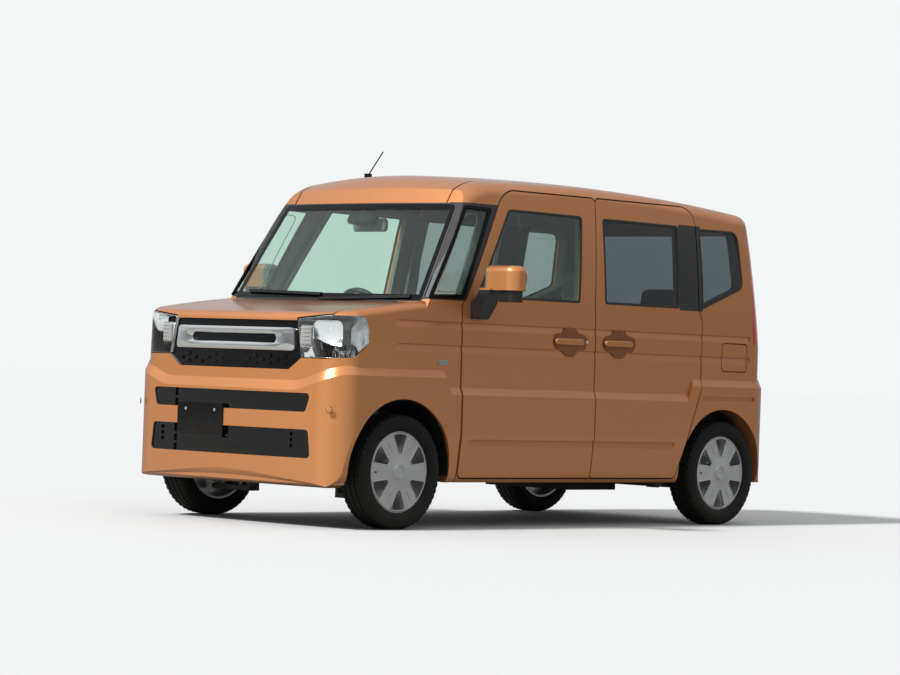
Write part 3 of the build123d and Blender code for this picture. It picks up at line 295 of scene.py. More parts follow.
def makePaint(name, withFilm, facingColour=paint["facing"], metallic=0.5):
    m, t, s = newMaterial(name, Roughness=0.34, Coat_Roughness=0.10, Specular_IOR_Level=0.5)
    fleck = placeGroup(t, flakes)
    facing = shaderNode(t, "LayerWeight", {"Blend": 0.42})
    colour = mixColours(t, facing.outputs["Facing"], facingColour, paint["glancing"])
    bright = shaderNode(t, "HueSaturation")
    wire(t, colour, bright.inputs["Color"])
    wire(t, plus(t, fleck.outputs["Shade"], 0.5), bright.inputs["Value"])
    dirt = placeGroup(t, dust, Top=0.55, Amount=0.16)
    colour = mixColours(t, dirt.outputs["Mask"], bright.outputs[0], paint["dust"])
    cabin = placeGroup(t, cabinSide)
    colour = mixColours(t, cabin.outputs["Mask"], colour, paint["lining"])
    shiny = minus(t, 1.0, cabin.outputs["Mask"])
    if withFilm:
        masks = [placeGroup(t, band, Front=b[0], FrontSlope=b[1], Rear=b[2], RearSlope=b[3], Low=b[4],
                            High=b[5]) for b in paint["filmBands"]]
        film = mathNode(t, "MAXIMUM", masks[0].outputs[0], masks[1].outputs[0])
        side = shaderNode(t, "SeparateXYZ")
        wire(t, shaderNode(t, "TexCoord").outputs["Object"], side.inputs[0])
        wide = above(t, mathNode(t, "ABSOLUTE", side.outputs["Y"]), lined["sideFrom"])
        film = times(t, film, wide)
        colour = mixColours(t, film, colour, paint["black"])
        metal = times(t, times(t, shiny, minus(t, 1.0, film)), metallic)
    else:
        metal = times(t, shiny, metallic)
    wire(t, colour, s.inputs["Base Color"])
    wire(t, metal, s.inputs["Metallic"])
    wire(t, times(t, shiny, 0.35), s.inputs["Coat Weight"])
    rough = plus(t, times(t, cabin.outputs["Mask"], 0.3),
                     plus(t, times(t, dirt.outputs["Mask"], 0.5), 0.32))
    wire(t, rough, s.inputs["Roughness"])
    wire(t, fleck.outputs["Normal"], s.inputs["Normal"])
    return m


# Moulded plastic and rubber: a base tone, grain, and dust near the ground
def makePlastic(name, colour, light, rough, scale=600.0, depth=0.25, dusty=0.2, **more):
    m, t, s = newMaterial(name, Roughness=rough, **more)
    g = placeGroup(t, grain, Scale=scale, Depth=depth)
    d = placeGroup(t, dust, Top=0.6, Amount=dusty)
    tone = mixColours(t, g.outputs["Tone"], colour, light)
    wire(t, mixColours(t, d.outputs["Mask"], tone, (0.20, 0.17, 0.14)), s.inputs["Base Color"])
    wire(t, plus(t, times(t, g.outputs["Tone"], 0.12), rough - 0.06), s.inputs["Roughness"])
    wire(t, g.outputs["Normal"], s.inputs["Normal"])
    return m


def makeCloth(name, dark, light):
    m, t, s = newMaterial(name, Roughness=0.9, Sheen_Weight=0.35, Sheen_Roughness=0.5)
    w = placeGroup(t, weave)
    wire(t, mixColours(t, w.outputs["Tone"], dark, light), s.inputs["Base Color"])
    wire(t, w.outputs["Normal"], s.inputs["Normal"])
    return m


# Glass: plain tinted transmission, and light passes to the cabin as through a thin pane
def makeGlass(name, tint, shade, rough=0.0, ior=1.45):
    m, t, s = newMaterial(name, Base_Color=tint, Roughness=rough, Transmission_Weight=1.0, IOR=ior)
    clear = shaderNode(t, "BsdfTransparent", {"Color": (*shade, 1)})
    mix = shaderNode(t, "MixShader")
    path = shaderNode(t, "LightPath")
    wire(t, path.outputs["Is Shadow Ray"], mix.inputs[0])
    wire(t, s.outputs[0], mix.inputs[1])
    wire(t, clear.outputs[0], mix.inputs[2])
    wire(t, mix.outputs[0], t.nodes["Material Output"].inputs["Surface"])
    return m


bodyPaint = makePaint("copperPaint", False)
# The handle dishes' paint: the copper made darker and more metallic, as painted shade for their recesses
dishShadePaint = makePaint("copperPaintShaded", False, (0.34, 0.128, 0.047), 0.7)
sidePaint = makePaint("copperPaintWithPillarFilm", True)
blackPlastic = makePlastic("blackPlastic", (0.003, 0.003, 0.0035), (0.007, 0.007, 0.008), 0.42,
                           Specular_IOR_Level=0.2)
satinBlack = makePlastic("satinBlack", (0.0015, 0.0015, 0.002), (0.003, 0.003, 0.004), 0.24, depth=0.04,
                         Specular_IOR_Level=0.18)
glossBlack = makePlastic("glossBlack", (0.001, 0.001, 0.0012), (0.002, 0.002, 0.0025), 0.10, scale=60.0,
                         depth=0.01, dusty=0.0)
underMetal = makePlastic("underbodyMetal", (0.020, 0.020, 0.021), (0.045, 0.043, 0.040), 0.6, scale=90.0,
                         depth=0.3, dusty=0.5)
castMetal = makePlastic("castMetal", (0.16, 0.155, 0.15), (0.24, 0.235, 0.23), 0.55, scale=240.0, depth=0.5,
                        dusty=0.4, Metallic=0.7)
steelMetal = makePlastic("pipeSteel", (0.28, 0.26, 0.24), (0.42, 0.40, 0.38), 0.4, scale=70.0, depth=0.1,
                         dusty=0.3, Metallic=0.9)
rubber = makePlastic("tyreRubber", (0.004, 0.004, 0.004), (0.009, 0.009, 0.009), 0.70, scale=420.0, depth=0.2,
                     dusty=0.08, Specular_IOR_Level=0.2)
sealRubber = makePlastic("sealRubber", (0.009, 0.009, 0.010), (0.016, 0.016, 0.017), 0.5, scale=800.0,
                         depth=0.1, dusty=0.0)
trimGrey = makePlastic("cabinTrim", (0.075, 0.072, 0.07), (0.11, 0.105, 0.10), 0.6, scale=500.0, depth=0.35,
                       dusty=0.0)
lightTrim = makePlastic("cabinLightTrim", (0.36, 0.35, 0.33), (0.44, 0.43, 0.41), 0.65, scale=500.0,
                        depth=0.2, dusty=0.0)
coverSilver = makePlastic("coverSilver", (0.50, 0.51, 0.52), (0.62, 0.63, 0.64), 0.32, scale=1500.0,
                          depth=0.04, dusty=0.12, Metallic=0.75)
chrome = makePlastic("brightChrome", (0.78, 0.79, 0.80), (0.86, 0.87, 0.88), 0.10, scale=60.0, depth=0.01,
                     dusty=0.03, Metallic=1.0)
lampChrome = makePlastic("lampChrome", (0.80, 0.81, 0.82), (0.90, 0.91, 0.92), 0.12, scale=60.0, depth=0.01,
                         dusty=0.0, Metallic=1.0)
mirrorFace = makePlastic("mirrorFace", (0.85, 0.86, 0.87), (0.88, 0.89, 0.90), 0.06, scale=20.0, depth=0.0,
                         dusty=0.0, Metallic=1.0)
lampSilver = makePlastic("lampSilver", (0.42, 0.43, 0.44), (0.56, 0.57, 0.58), 0.26, scale=60.0, depth=0.01,
                         dusty=0.0, Metallic=0.9)
clearIndicator = makePlastic("clearIndicator", (0.22, 0.22, 0.215), (0.36, 0.36, 0.35), 0.08, scale=260.0,
                             depth=0.4, dusty=0.0)
redLens = makePlastic("redLens", (0.42, 0.010, 0.012), (0.58, 0.022, 0.020), 0.12, scale=140.0, depth=0.12,
                      dusty=0.0, Coat_Weight=1.0)
seatCloth = makeCloth("seatCloth", (0.10, 0.095, 0.09), (0.30, 0.29, 0.27))
tintedGlass = makeGlass("greenTintGlass", (0.72, 0.88, 0.80), (0.80, 0.92, 0.86))
privacyGlass = makeGlass("privacyGlass", (0.30, 0.34, 0.36), (0.30, 0.34, 0.36))
tree = privacyGlass.node_tree
ahead = placeGroup(tree, band, Front=3.0, Rear=0.3, Low=0.0, High=3.0)
wire(tree, mixColours(tree, ahead.outputs["Mask"], (0.30, 0.34, 0.36), (0.72, 0.88, 0.80)),
     tree.nodes["Principled BSDF"].inputs["Base Color"])
lensClear = makeGlass("lampLens", (0.96, 0.98, 0.98), (0.95, 0.97, 0.97))

finishes = {
    sidePaint: ["body_side_left", "body_side_right", "rear_door_left", "rear_door_right"],
    bodyPaint: ["front_door_left", "front_door_right", "roof_panel", "front_fenders", "front_bumper",
                "rear_bumper", "bonnet", "tailgate", "fuel_flap"],
    underMetal: ["floor_pan", "front_structure", "front_subframe", "rear_axle"],
    castMetal: ["engine_block", "knuckle_left", "knuckle_right"],
    steelMetal: ["exhaust"],
    blackPlastic: ["wipers", "rear_wiper", "antenna", "fuel_tank"],
    glossBlack: ["grille_inserts"],
    chrome: ["grille_bar"],
    redLens: ["tail_lamps"],
    tintedGlass: ["windscreen", "front_door_glass_left", "front_door_glass_right"],
    privacyGlass: ["fixed_side_glass", "tailgate_glass"],
    trimGrey: ["dashboard"],
    coverSilver: ["wheel_front_left", "wheel_front_right", "wheel_rear_left", "wheel_rear_right"],
}
for material, names in finishes.items():
    for name in names:
        mesh = cadNodes[name].data
        mesh.materials.clear()
        mesh.materials.append(material)
print("finishes set")


# Shapes worked out with numpy
def ringFaces(rings, count, wrapRings):
    i = np.arange(rings if wrapRings else rings - 1)[:, None]
    j = np.arange(count)[None, :]
    k, n = (i + 1) % rings, (j + 1) % count
    return np.stack([i * count + j, i * count + n, k * count + n, k * count + j], -1).reshape(-1, 4)


# A closed skin through rings of points, shaped (rings, points, 3); the ends close on their middle points
def ringPiece(name, rings, body, material, wrapRings=False, sharp=35.0):
    rings = np.asarray(rings, float)
    count = rings.shape[1]
    points = rings.reshape(-1, 3)
    faces = ringFaces(len(rings), count, wrapRings).tolist()
    if not wrapRings:
        first, last = len(points), len(points) + 1
        points = np.vstack([points, rings[0].mean(0), rings[-1].mean(0)])
        j = np.arange(count)
        n = (j + 1) % count
        base = (len(rings) - 1) * count
        faces += np.stack([n, j, np.full(count, first)], -1).tolist()
        faces += np.stack([base + j, base + n, np.full(count, last)], -1).tolist()
    mesh = bpy.data.meshes.new(name)
    mesh.from_pydata(points.tolist(), [], faces)
    return finishPiece(name, mesh, body, material, sharp)


def finishPiece(name, mesh, body, material, sharp=35.0):
    work = bmesh.new()
    work.from_mesh(mesh)
    bmesh.ops.remove_doubles(work, verts=work.verts, dist=0.00001)
    bmesh.ops.recalc_face_normals(work, faces=work.faces)
    work.to_mesh(mesh)
    work.free()
    mesh.shade_smooth()
    mesh.set_sharp_from_angle(angle=math.radians(sharp))
    piece = bpy.data.objects.new(name, mesh)
    bpy.context.collection.objects.link(piece)
    mesh.materials.append(material)
    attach(piece, body)
    return piece


# Rounded rectangle: quarter circles of one radius at four corners, going round once
def roundedLoop(halfWide, halfHigh, radius, perCorner=8):
    a = np.linspace(0, math.pi / 2, perCorner)
    corners = []
    for k, (sx, sy) in enumerate(((1, 1), (-1, 1), (-1, -1), (1, -1))):
        turn = a + k * math.pi / 2
        corners.append(np.stack([sx * (halfWide - radius) + radius * np.cos(turn),
                                 sy * (halfHigh - radius) + radius * np.sin(turn)], -1))
    return np.concatenate(corners)


# Axes of a placed flat form: right, up and outward, with outward given by its azimuth and elevation in
# degrees
def formAxes(azimuth, elevation=0.0):
    a, e = math.radians(azimuth), math.radians(elevation)
    out = np.array([math.cos(a) * math.cos(e), math.sin(a) * math.cos(e), math.sin(e)])
    right = np.array([-math.sin(a), math.cos(a), 0.0])
    return right, np.cross(out, right), out


# A stack of rounded loops: each layer is (how far out, how much narrower), carried along the outward axis
def stackedPlate(name, centre, size, layers, azimuth, elevation, body, material, sharp=35.0):
    right, up, out = formAxes(azimuth, elevation)
    halfWide, halfHigh, radius = size
    rings = []
    for lift, narrow in layers:
        loop = roundedLoop(halfWide - narrow, halfHigh - narrow, max(radius - narrow, 0.0006))
        rings.append(np.array(centre) + loop[:, :1] * right + loop[:, 1:] * up + lift * out)
    return ringPiece(name, np.array(rings), body, material, sharp=sharp)


# A tube: a circle of the given radius carried along a closed or open path of points
def tubePiece(name, path, radius, body, material, closed=True, sides=10, flat=1.0):
    path = np.asarray(path, float)
    ahead, behind = np.roll(path, -1, 0), np.roll(path, 1, 0)
    if not closed:
        ahead[-1], behind[0] = path[-1], path[0]
    along = ahead - behind
    along /= np.linalg.norm(along, axis=1)[:, None]
    normal = np.cross(along,
                      np.cross(np.mean(np.cross(behind - path.mean(0), ahead - path.mean(0)), 0), along))
    lengths = np.linalg.norm(normal, axis=1)[:, None]
    if np.min(lengths) < 1e-9:
        normal = np.cross(along, [0.31, 0.52, 0.79])
        lengths = np.linalg.norm(normal, axis=1)[:, None]
    normal = normal / lengths
    side = np.cross(along, normal)
    a = np.linspace(0, 2 * math.pi, sides, endpoint=False)[None, :, None]
    rings = path[:, None, :] + radius * (np.cos(a) * side[:, None, :] + flat * np.sin(a) * normal[:, None, :])
    return ringPiece(name, rings, body, material, wrapRings=closed, sharp=50.0)


# Corner points (x, y, radius) joined by straight runs and quarter-like arcs: each arc is a quadratic blend
# of its corner
def softOutline(corners, perCorner=7):
    p = np.array([c[:2] for c in corners], float)
    r = np.array([c[2] if len(c) > 2 else 0.0 for c in corners], float)
    before, after = np.roll(p, 1, 0) - p, np.roll(p, -1, 0) - p
    lb, la = np.linalg.norm(before, axis=1), np.linalg.norm(after, axis=1)
    reach = np.minimum(r, 0.45 * np.minimum(lb, la))[:, None]
    a, b = p + before / lb[:, None] * reach, p + after / la[:, None] * reach
    t = np.linspace(0, 1, perCorner)[None, :, None]
    arc = (1 - t) ** 2 * a[:, None] + 2 * t * (1 - t) * p[:, None] + t ** 2 * b[:, None]
    return arc.reshape(-1, 2)


# The same outline moved inward by a distance, along the average of its neighbouring edges' normals
def inwardOutline(loop, distance):
    keep = np.linalg.norm(np.roll(loop, -1, 0) - loop, axis=1) > 1e-6
    loop = loop[keep]
    edge = np.roll(loop, -1, 0) - loop
    n = np.stack([-edge[:, 1], edge[:, 0]], -1) / np.linalg.norm(edge, axis=1)[:, None]
    area = np.sum(loop[:, 0] * np.roll(loop[:, 1], -1) - np.roll(loop[:, 0], -1) * loop[:, 1])
    n = n * np.sign(area)
    m = n + np.roll(n, 1, 0)
    m = m / np.maximum(np.sum(m * np.roll(n, 1, 0), axis=1), 0.3)[:, None]
    return loop, loop + m * distance


# Half width of the body at a height: two tangent arcs above the waist
def sideHalfWidth(z):
    low = 0.722 - 2.65 + np.sqrt(2.65 ** 2 - (z - 0.900) ** 2)
    high = -4.5556 + np.sqrt(5.2876 ** 2 - (z - 0.6711) ** 2)
    return np.where(z < 0.9, 0.722, np.where(z < 1.13, low, high))


# The windscreen's face: a plane leaning back, bowed by a circle across the car
screen = {"x": 1.125, "z": 1.085, "lean": 31.4, "radius": 4.1988}


def screenPoint(y, z, lift=0.0):
    c, s = math.cos(math.radians(screen["lean"])), math.sin(math.radians(screen["lean"]))
    local = -(screen["radius"] - np.sqrt(screen["radius"] ** 2 - y ** 2)) + lift
    along = (z - screen["z"] - local * s) / c
    return np.stack([screen["x"] + local * c - along * s, y, z + 0 * y], -1)


def sidePoint(x, z, side, lift=0.0):
    return np.stack([x, side * (sideHalfWidth(z) + lift), z], -1)


# More points along the straight runs of an outline, so that it can follow a curved face
def filledOut(loop, step=0.03):
    runs = []
    for a, b in zip(loop, np.roll(loop, -1, 0)):
        count = max(1, math.ceil(np.linalg.norm(b - a) / step))
        runs.append(a + (b - a) * np.linspace(0, 1, count, endpoint=False)[:, None])
    return np.concatenate(runs)


# A band that follows an outline on a curved face: outer and inner edge, each low and raised, closed into a
# ring
def bandPiece(name, outlinePoints, width, low, high, place, body, material, grow=0.0):
    base = filledOut(softOutline(outlinePoints))
    base, outer = inwardOutline(base, -grow)
    inner = inwardOutline(base, width)[1]
    rings = np.stack([place(outer, low), place(outer, high * 0.7), place(outer * 0.85 + inner * 0.15,
        high), place(outer * 0.15 + inner * 0.85, high), place(inner, high * 0.7), place(inner, low)], 1)
    return ringPiece(name, rings, body, material, wrapRings=True)


print("shape functions ready")


# Tyres: the section turned about the axle, with three grooves round it, cross grooves in the shoulders and
# a ribbed wall
tyre = {"rim": 0.197, "outside": 0.2785, "middleY": 0.6475, "half": 0.0775, "turns": 216, "blocks": 54,
        "grooves": (-0.034, 0.0, 0.034), "grooveHalf": 0.0042, "grooveDepth": 0.0065, "shoulderDepth": 0.005,
        "sipeDepth": 0.003}


def tyreSection(count=64):
    w = tyre["half"]
    run = softOutline([(-w + 0.015, tyre["rim"]), (-w + 0.002, tyre["rim"] + 0.012, 0.01),
                       (-w - 0.003, tyre["rim"] + 0.039, 0.05), (-w + 0.004, tyre["outside"] - 0.012, 0.02),
                       (-w + 0.014, tyre["outside"] - 0.0012, 0.012), (0.0, tyre["outside"]),
                       (w - 0.014, tyre["outside"] - 0.0012, 0.012),
                       (w - 0.004, tyre["outside"] - 0.012, 0.02), (w + 0.003, tyre["rim"] + 0.039, 0.05),
                       (w - 0.002, tyre["rim"] + 0.012, 0.01), (w - 0.015, tyre["rim"])])
    step = np.concatenate([[0], np.cumsum(np.linalg.norm(np.diff(run, axis=0), axis=1))])
    extra = [g + s for g in tyre["grooves"] for s in (-0.0046, -0.0040, 0.0, 0.0040, 0.0046)]
    spots = np.linspace(0, step[-1], count)
    y, r = np.interp(spots, step, run[:, 0]), np.interp(spots, step, run[:, 1])
    tread = np.abs(y) < w - 0.016
    lane = np.concatenate([y[tread], extra])
    lane.sort()
    y = np.concatenate([y[~tread & (y < 0)], lane, y[~tread & (y > 0)]])
    top = tyre["outside"] - 0.0012 * (np.abs(lane) / (w - 0.014)) ** 2
    r = np.concatenate([r[~tread & (spots < step[-1] / 2)], top, r[~tread & (spots > step[-1] / 2)]])
    return y, r


def makeTyre(node, body, x, side):
    y, r = tyreSection()
    turn = np.linspace(0, 2 * math.pi, tyre["turns"], endpoint=False)[:, None]
    w = tyre["half"]
    depth = np.zeros((tyre["turns"], len(y)))
    for g in tyre["grooves"]:
        depth += tyre["grooveDepth"] * (np.abs(y - g) < tyre["grooveHalf"])
    wave = np.cos(turn * tyre["blocks"] + 40 * np.abs(y)[None, :])
    lateral = (wave > 0.55) & (np.abs(y) > 0.043)[None, :] & (r > tyre["outside"] - 0.016)[None, :]
    depth = np.maximum(depth, tyre["shoulderDepth"] * lateral)
    between = (np.abs(y) > 0.006) & (np.abs(y) < 0.028)
    sipes = (np.cos(turn * tyre["blocks"] + 0.9) > 0.93) & between[None, :]
    depth = np.maximum(depth, tyre["sipeDepth"] * sipes)
    onWall = (np.abs(y) > w - 0.012) & (np.abs(r - 0.228) < 0.012)
    wallRib = 0.0008 * (np.abs((r - 0.222) * 1000 % 5 - 2.5) < 1.1) * onWall
    lip = 0.0016 * np.exp(-((r - 0.2065) / 0.003) ** 2) * (np.abs(y) > w - 0.02)
    radius = r[None, :] - depth
    across = side * (tyre["middleY"] + y + np.sign(y) * (wallRib + lip))
    rings = np.stack([x + radius * np.cos(turn), across[None, :] + 0 * radius,
                      tyre["outside"] + radius * np.sin(turn)], -1)
    piece = ringPiece(node + "_tread", rings, body, rubber, wrapRings=True, sharp=28.0)
    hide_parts(node)


# Wheel covers: a raised edge round each opening, a bright ring at the rim, a ring round the middle cap and a
# bare cap
cover = {"faceY": 0.713, "openings": 6, "capRing": 0.034, "edgeRadius": 0.0032, "rimRing": 0.1895,
         "dropFrom": 0.15, "dropOver": 0.036, "drop": 0.0035}


def coverOpening():
    w = softOutline([(0.0865, -0.011, 0.012), (0.0865, 0.011, 0.012), (0.1775, 0.0498, 0.012),
                     (0.1865, 0.022, 0.03), (0.1865, -0.022, 0.03), (0.1775, -0.0498, 0.012)], 6)
    return w[np.linalg.norm(np.roll(w, -1, 0) - w, axis=1) > 1e-5]


def wheelPoint(radial, sideways, depth, angle, x, side):
    c, s = math.cos(angle), math.sin(angle)
    return np.stack([x + radial * c - sideways * s, side * depth + 0 * radial,
                     tyre["outside"] + radial * s + sideways * c], -1)


def makeCover(wheelName, body, x, side):
    loop = coverOpening()
    for k in range(cover["openings"]):
        angle = math.pi / 6 + k * math.pi / 3
        outward = np.clip((loop[:, 0] - cover["dropFrom"]) / cover["dropOver"], 0, 1)
        lift = cover["faceY"] - 0.0006 - cover["drop"] * outward
        path = wheelPoint(loop[:, 0], loop[:, 1], lift, angle, x, side)
        tubePiece(f"{wheelName}_edge{k}", path, cover["edgeRadius"], body, coverSilver,
                  sides=8)
    turn = np.linspace(0, 2 * math.pi, 96, endpoint=False)
    zero = 0 * turn
    for label, radius, thick, depth in (("rim", cover["rimRing"], 0.0030, 0.7075),
                                        ("cap", cover["capRing"], 0.0028, 0.7125)):
        path = np.stack([x + radius * np.cos(turn), side * depth + zero,
                         tyre["outside"] + radius * np.sin(turn)], -1)
        tubePiece(f"{wheelName}_{label}Ring", path, thick, body, coverSilver, sides=8)
    rings = []
    for r, d in ((0.030, 0.708), (0.0298, 0.7105), (0.026, 0.7125), (0.014, 0.7136), (0.004, 0.7138)):
        rings.append(np.stack([x + r * np.cos(turn), side * d + zero, tyre["outside"] + r * np.sin(turn)],
                              -1))
    ringPiece(f"{wheelName}_cap", np.array(rings), body, coverSilver)
    stem = np.array([(x + 0.168, side * 0.702, tyre["outside"]), (x + 0.163, side * 0.712, tyre["outside"]),
                     (x + 0.160, side * 0.717, tyre["outside"])])
    tubePiece(f"{wheelName}_valve", stem, 0.004, body, blackPlastic, closed=False)


for corner, x in (("front", 1.2), ("rear", -1.26)):
    for hand, side in (("left", 1), ("right", -1)):
        makeTyre(f"tyre_{corner}_{hand}", f"road_wheel_{corner}_{hand}", x, side)
        makeCover(f"wheel_{corner}_{hand}", f"road_wheel_{corner}_{hand}", x, side)
print("tyres and wheel covers made")


# Front wheel liners: the arch's curve carried across the car, 3 mm thick
liner = {"x": 1.208, "z": 0.285, "radius": 0.3435, "inner": 0.532, "outer": 0.716, "thick": 0.003}
for hand, side in (("left", 1), ("right", -1)):
    a = np.linspace(math.radians(-4), math.radians(184), 60)[:, None]
    section = np.array([(liner["inner"], 0), (liner["outer"], 0), (liner["outer"], liner["thick"]),
                        (liner["inner"], liner["thick"])])
    r = liner["radius"] - section[:, 1][None, :] + 0 * a
    rings = np.stack([liner["x"] + r * np.cos(a), side * section[:, 0][None, :] + 0 * r,
                      liner["z"] + r * np.sin(a)], -1)
    ringPiece("wheelLiner_" + hand, rings, "shell", blackPlastic)


# Glass edges and seals
windows = {
    "front": [(0.698, 1.147, 0.014), (0.424, 1.597, 0.030), (-0.132, 1.593, 0.024), (-0.075, 1.147, 0.020)],
    "rear": [(-0.272, 1.150, 0.020), (-0.292, 1.592, 0.024), (-0.902, 1.588, 0.024), (-0.872, 1.150, 0.020)],
    "frontQuarter": [(1.040, 1.126, 0.012), (0.742, 1.600, 0.012), (0.547, 1.594, 0.012),
                     (0.794, 1.135, 0.012)],
    "rearQuarter": [(-1.066, 1.154, 0.014), (-1.076, 1.582, 0.020), (-1.404, 1.582, 0.060),
                    (-1.418, 1.278, 0.040)],
}
for hand, side in (("left", 1), ("right", -1)):
    onSide = lambda q, lift, side=side: sidePoint(q[:, 0], q[:, 1], side, lift)
    bandPiece(f"frontDoorSeal_{hand}", windows["front"], 0.010, -0.004, 0.0012, onSide, f"door_{hand}",
              sealRubber, 0.002)
    bandPiece(f"rearDoorSeal_{hand}", windows["rear"], 0.011, -0.004, 0.0012, onSide, "shell",
              sealRubber, 0.002)
    bandPiece(f"frontQuarterFrame_{hand}", windows["frontQuarter"], 0.020, -0.004, 0.0006, onSide, "shell",
              satinBlack, 0.001)
    bandPiece(f"rearQuarterFrame_{hand}", windows["rearQuarter"], 0.009, -0.004, 0.0008, onSide, "shell",
              sealRubber, 0.002)
    bandPiece(f"quarterSealLine_{hand}",
              [(0.985, 1.160, 0.03), (0.745, 1.560, 0.05), (0.640, 1.560, 0.10), (0.845, 1.160, 0.03)], 0.004,
              -0.0095, -0.0085, onSide, "shell", lightTrim)
onScreen = lambda q, lift: screenPoint(q[:, 0], q[:, 1], lift)
screenEdge = [(-0.675, 1.109, 0.03), (-0.6155, 1.609, 0.04), (0.6155, 1.609, 0.04), (0.675, 1.109, 0.03)]
bandPiece("windscreenFrit", screenEdge, 0.034, -0.003, 0.0016, onScreen, "shell", satinBlack)
bandPiece("windscreenSeal", screenEdge, 0.006, -0.003, 0.0028, onScreen, "shell", sealRubber,
          0.001)
print("seals made")


# Headlamps: the CAD solid's outer skin becomes a thin clear lens, the rest of it a bright bucket, with
# optics inside
lampParts = {"lensThick": 0.0022, "bowl": (1.598, 0.592, 0.912), "bowlSize": (0.074, 0.080, 0.030),
             "bowlAim": (18.0, 0.0), "block": (1.640, 0.497, 0.918), "blockSize": (0.034, 0.046, 0.008),
             "blockAim": (4.0, 0.0)}


# A copy of the CAD lamps with only the faces that a rule keeps
def lampSkin(name, keepOuter, material, thickness, offset):
    mesh = cadNodes["headlamps"].data.copy()
    mesh.name = name
    work = bmesh.new()
    work.from_mesh(mesh)
    bmesh.ops.remove_doubles(work, verts=work.verts, dist=0.00002)
    drop = []
    for f in work.faces:
        n, c = f.normal, f.calc_center_median()
        outer = (n.x > 0.25 or n.y * math.copysign(1, c.y) > 0.35) and abs(n.z) < 0.86
        if outer != keepOuter:
            drop.append(f)
    bmesh.ops.delete(work, geom=drop, context="FACES")
    work.to_mesh(mesh)
    work.free()
    mesh.materials.clear()
    mesh.materials.append(material)
    mesh.shade_smooth()
    mesh.set_sharp_from_angle(angle=math.radians(35))
    piece = bpy.data.objects.new(name, mesh)
    bpy.context.collection.objects.link(piece)
    wall = piece.modifiers.new("wall", "SOLIDIFY")
    wall.thickness = thickness
    wall.offset = offset
    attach(piece, "shell")
    return piece


lens = lampSkin("headlampLenses", True, lensClear, lampParts["lensThick"], -1)
lampSkin("headlampBuckets", False, lampSilver, 0.0015, -1)
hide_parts("headlamps")


# A faceted bowl: squarish rings that shrink with the square of their depth, each point nudged in and out by
# a cosine
def makeBowl(name, centre, size, deep, azimuth, body, material, petals=18, rows=9):
    right, up, out = formAxes(azimuth)
    rings = []
    for t in np.linspace(1.0, 0.16, rows):
        loop = roundedLoop(size[0] * t, size[1] * t, size[2] * t, 6)
        turn = np.arctan2(loop[:, 1], loop[:, 0])
        ripple = 1 + 0.035 * np.cos(petals * turn + 9 * t)
        sink = -deep * (1 - t ** 2)
        loop = loop * ripple[:, None]
        rings.append(np.array(centre) + loop[:, :1] * right + loop[:, 1:] * up + sink * out)
    back = [r - 0.002 * out for r in reversed(rings)]
    return ringPiece(name, np.array(rings + back), body, material, sharp=8.0)


def lampPlate(name, centre, size, layers, azimuth, material):
    return stackedPlate(name, centre, size, layers, azimuth, 0, "shell", material)


def mirrored(point, side):
    return (point[0], side * point[1], point[2])


for hand, side in (("left", 1), ("right", -1)):
    aim = side * lampParts["bowlAim"][0]
    centre = mirrored(lampParts["bowl"], side)
    makeBowl(f"reflector_{hand}", centre, lampParts["bowlSize"], 0.034, aim, "shell",
             lampChrome)
    lampPlate(f"bulb_{hand}", np.array(centre) - 0.022 * formAxes(aim)[2], (0.011, 0.011, 0.0105),
              [(0, 0), (0.014, 0), (0.020, 0.003), (0.023, 0.008)], aim, clearIndicator)
    lampPlate(f"reflectorRim_{hand}", np.array(centre) - 0.004 * formAxes(aim)[2], (0.080, 0.086, 0.034),
              [(0, 0), (0.003, 0), (0.004, 0.002), (0.004, 0.0055), (0.001, 0.0065)], aim, lampChrome)
    blockCentre = mirrored(lampParts["block"], side)
    blockAim = side * lampParts["blockAim"][0]
    lampPlate(f"indicatorFrame_{hand}", blockCentre, (0.040, 0.052, 0.010),
              [(0, 0), (0.006, 0), (0.008, 0.002), (0.008, 0.006)], blockAim, lampChrome)
    lampPlate(f"indicator_{hand}", np.array(blockCentre) + np.array([0.006, 0, 0]), lampParts["blockSize"],
              [(0, 0), (0.006, 0), (0.009, 0.003), (0.010, 0.008)], blockAim, clearIndicator)
    for row in range(5):
        z = blockCentre[2] - 0.036 + 0.018 * row
        rib = np.array([(blockCentre[0] + 0.0165, blockCentre[1] + s, z) for s in np.linspace(-0.028, 0.028,
            8)])
        tubePiece(f"indicatorRib_{hand}{row}", rib, 0.0022, "shell", clearIndicator,
                  closed=False, sides=8)
print("headlamps made")


# The nose's face: a plane that leans back, bowed by a circle across the car
nose = {"x": 1.668, "z": 0.800, "lean": 1.6, "bow": 7.5}


def noseX(y, z):
    return nose["x"] - math.tan(math.radians(nose["lean"])) * (z - nose["z"]) - y ** 2 / (2 * nose["bow"])


# Bright bar: from its outline to its long slot the face swells as a power of a sine, and closes behind
barFace = {"outline": [(-0.413, 0.957, 0.022), (-0.425, 0.846, 0.022), (0.425, 0.846, 0.022),
                       (0.413, 0.957, 0.022)],
           "slot": (0.300, 0.0205, 0.0200), "slotZ": 0.903, "swell": 0.008, "steps": 14}


def evenly(loop, count):
    closed = np.vstack([loop, loop[:1]])
    step = np.concatenate([[0], np.cumsum(np.linalg.norm(np.diff(closed, axis=0), axis=1))])
    at = np.linspace(0, step[-1], count, endpoint=False)
    return np.stack([np.interp(at, step, closed[:, 0]), np.interp(at, step, closed[:, 1])], -1)


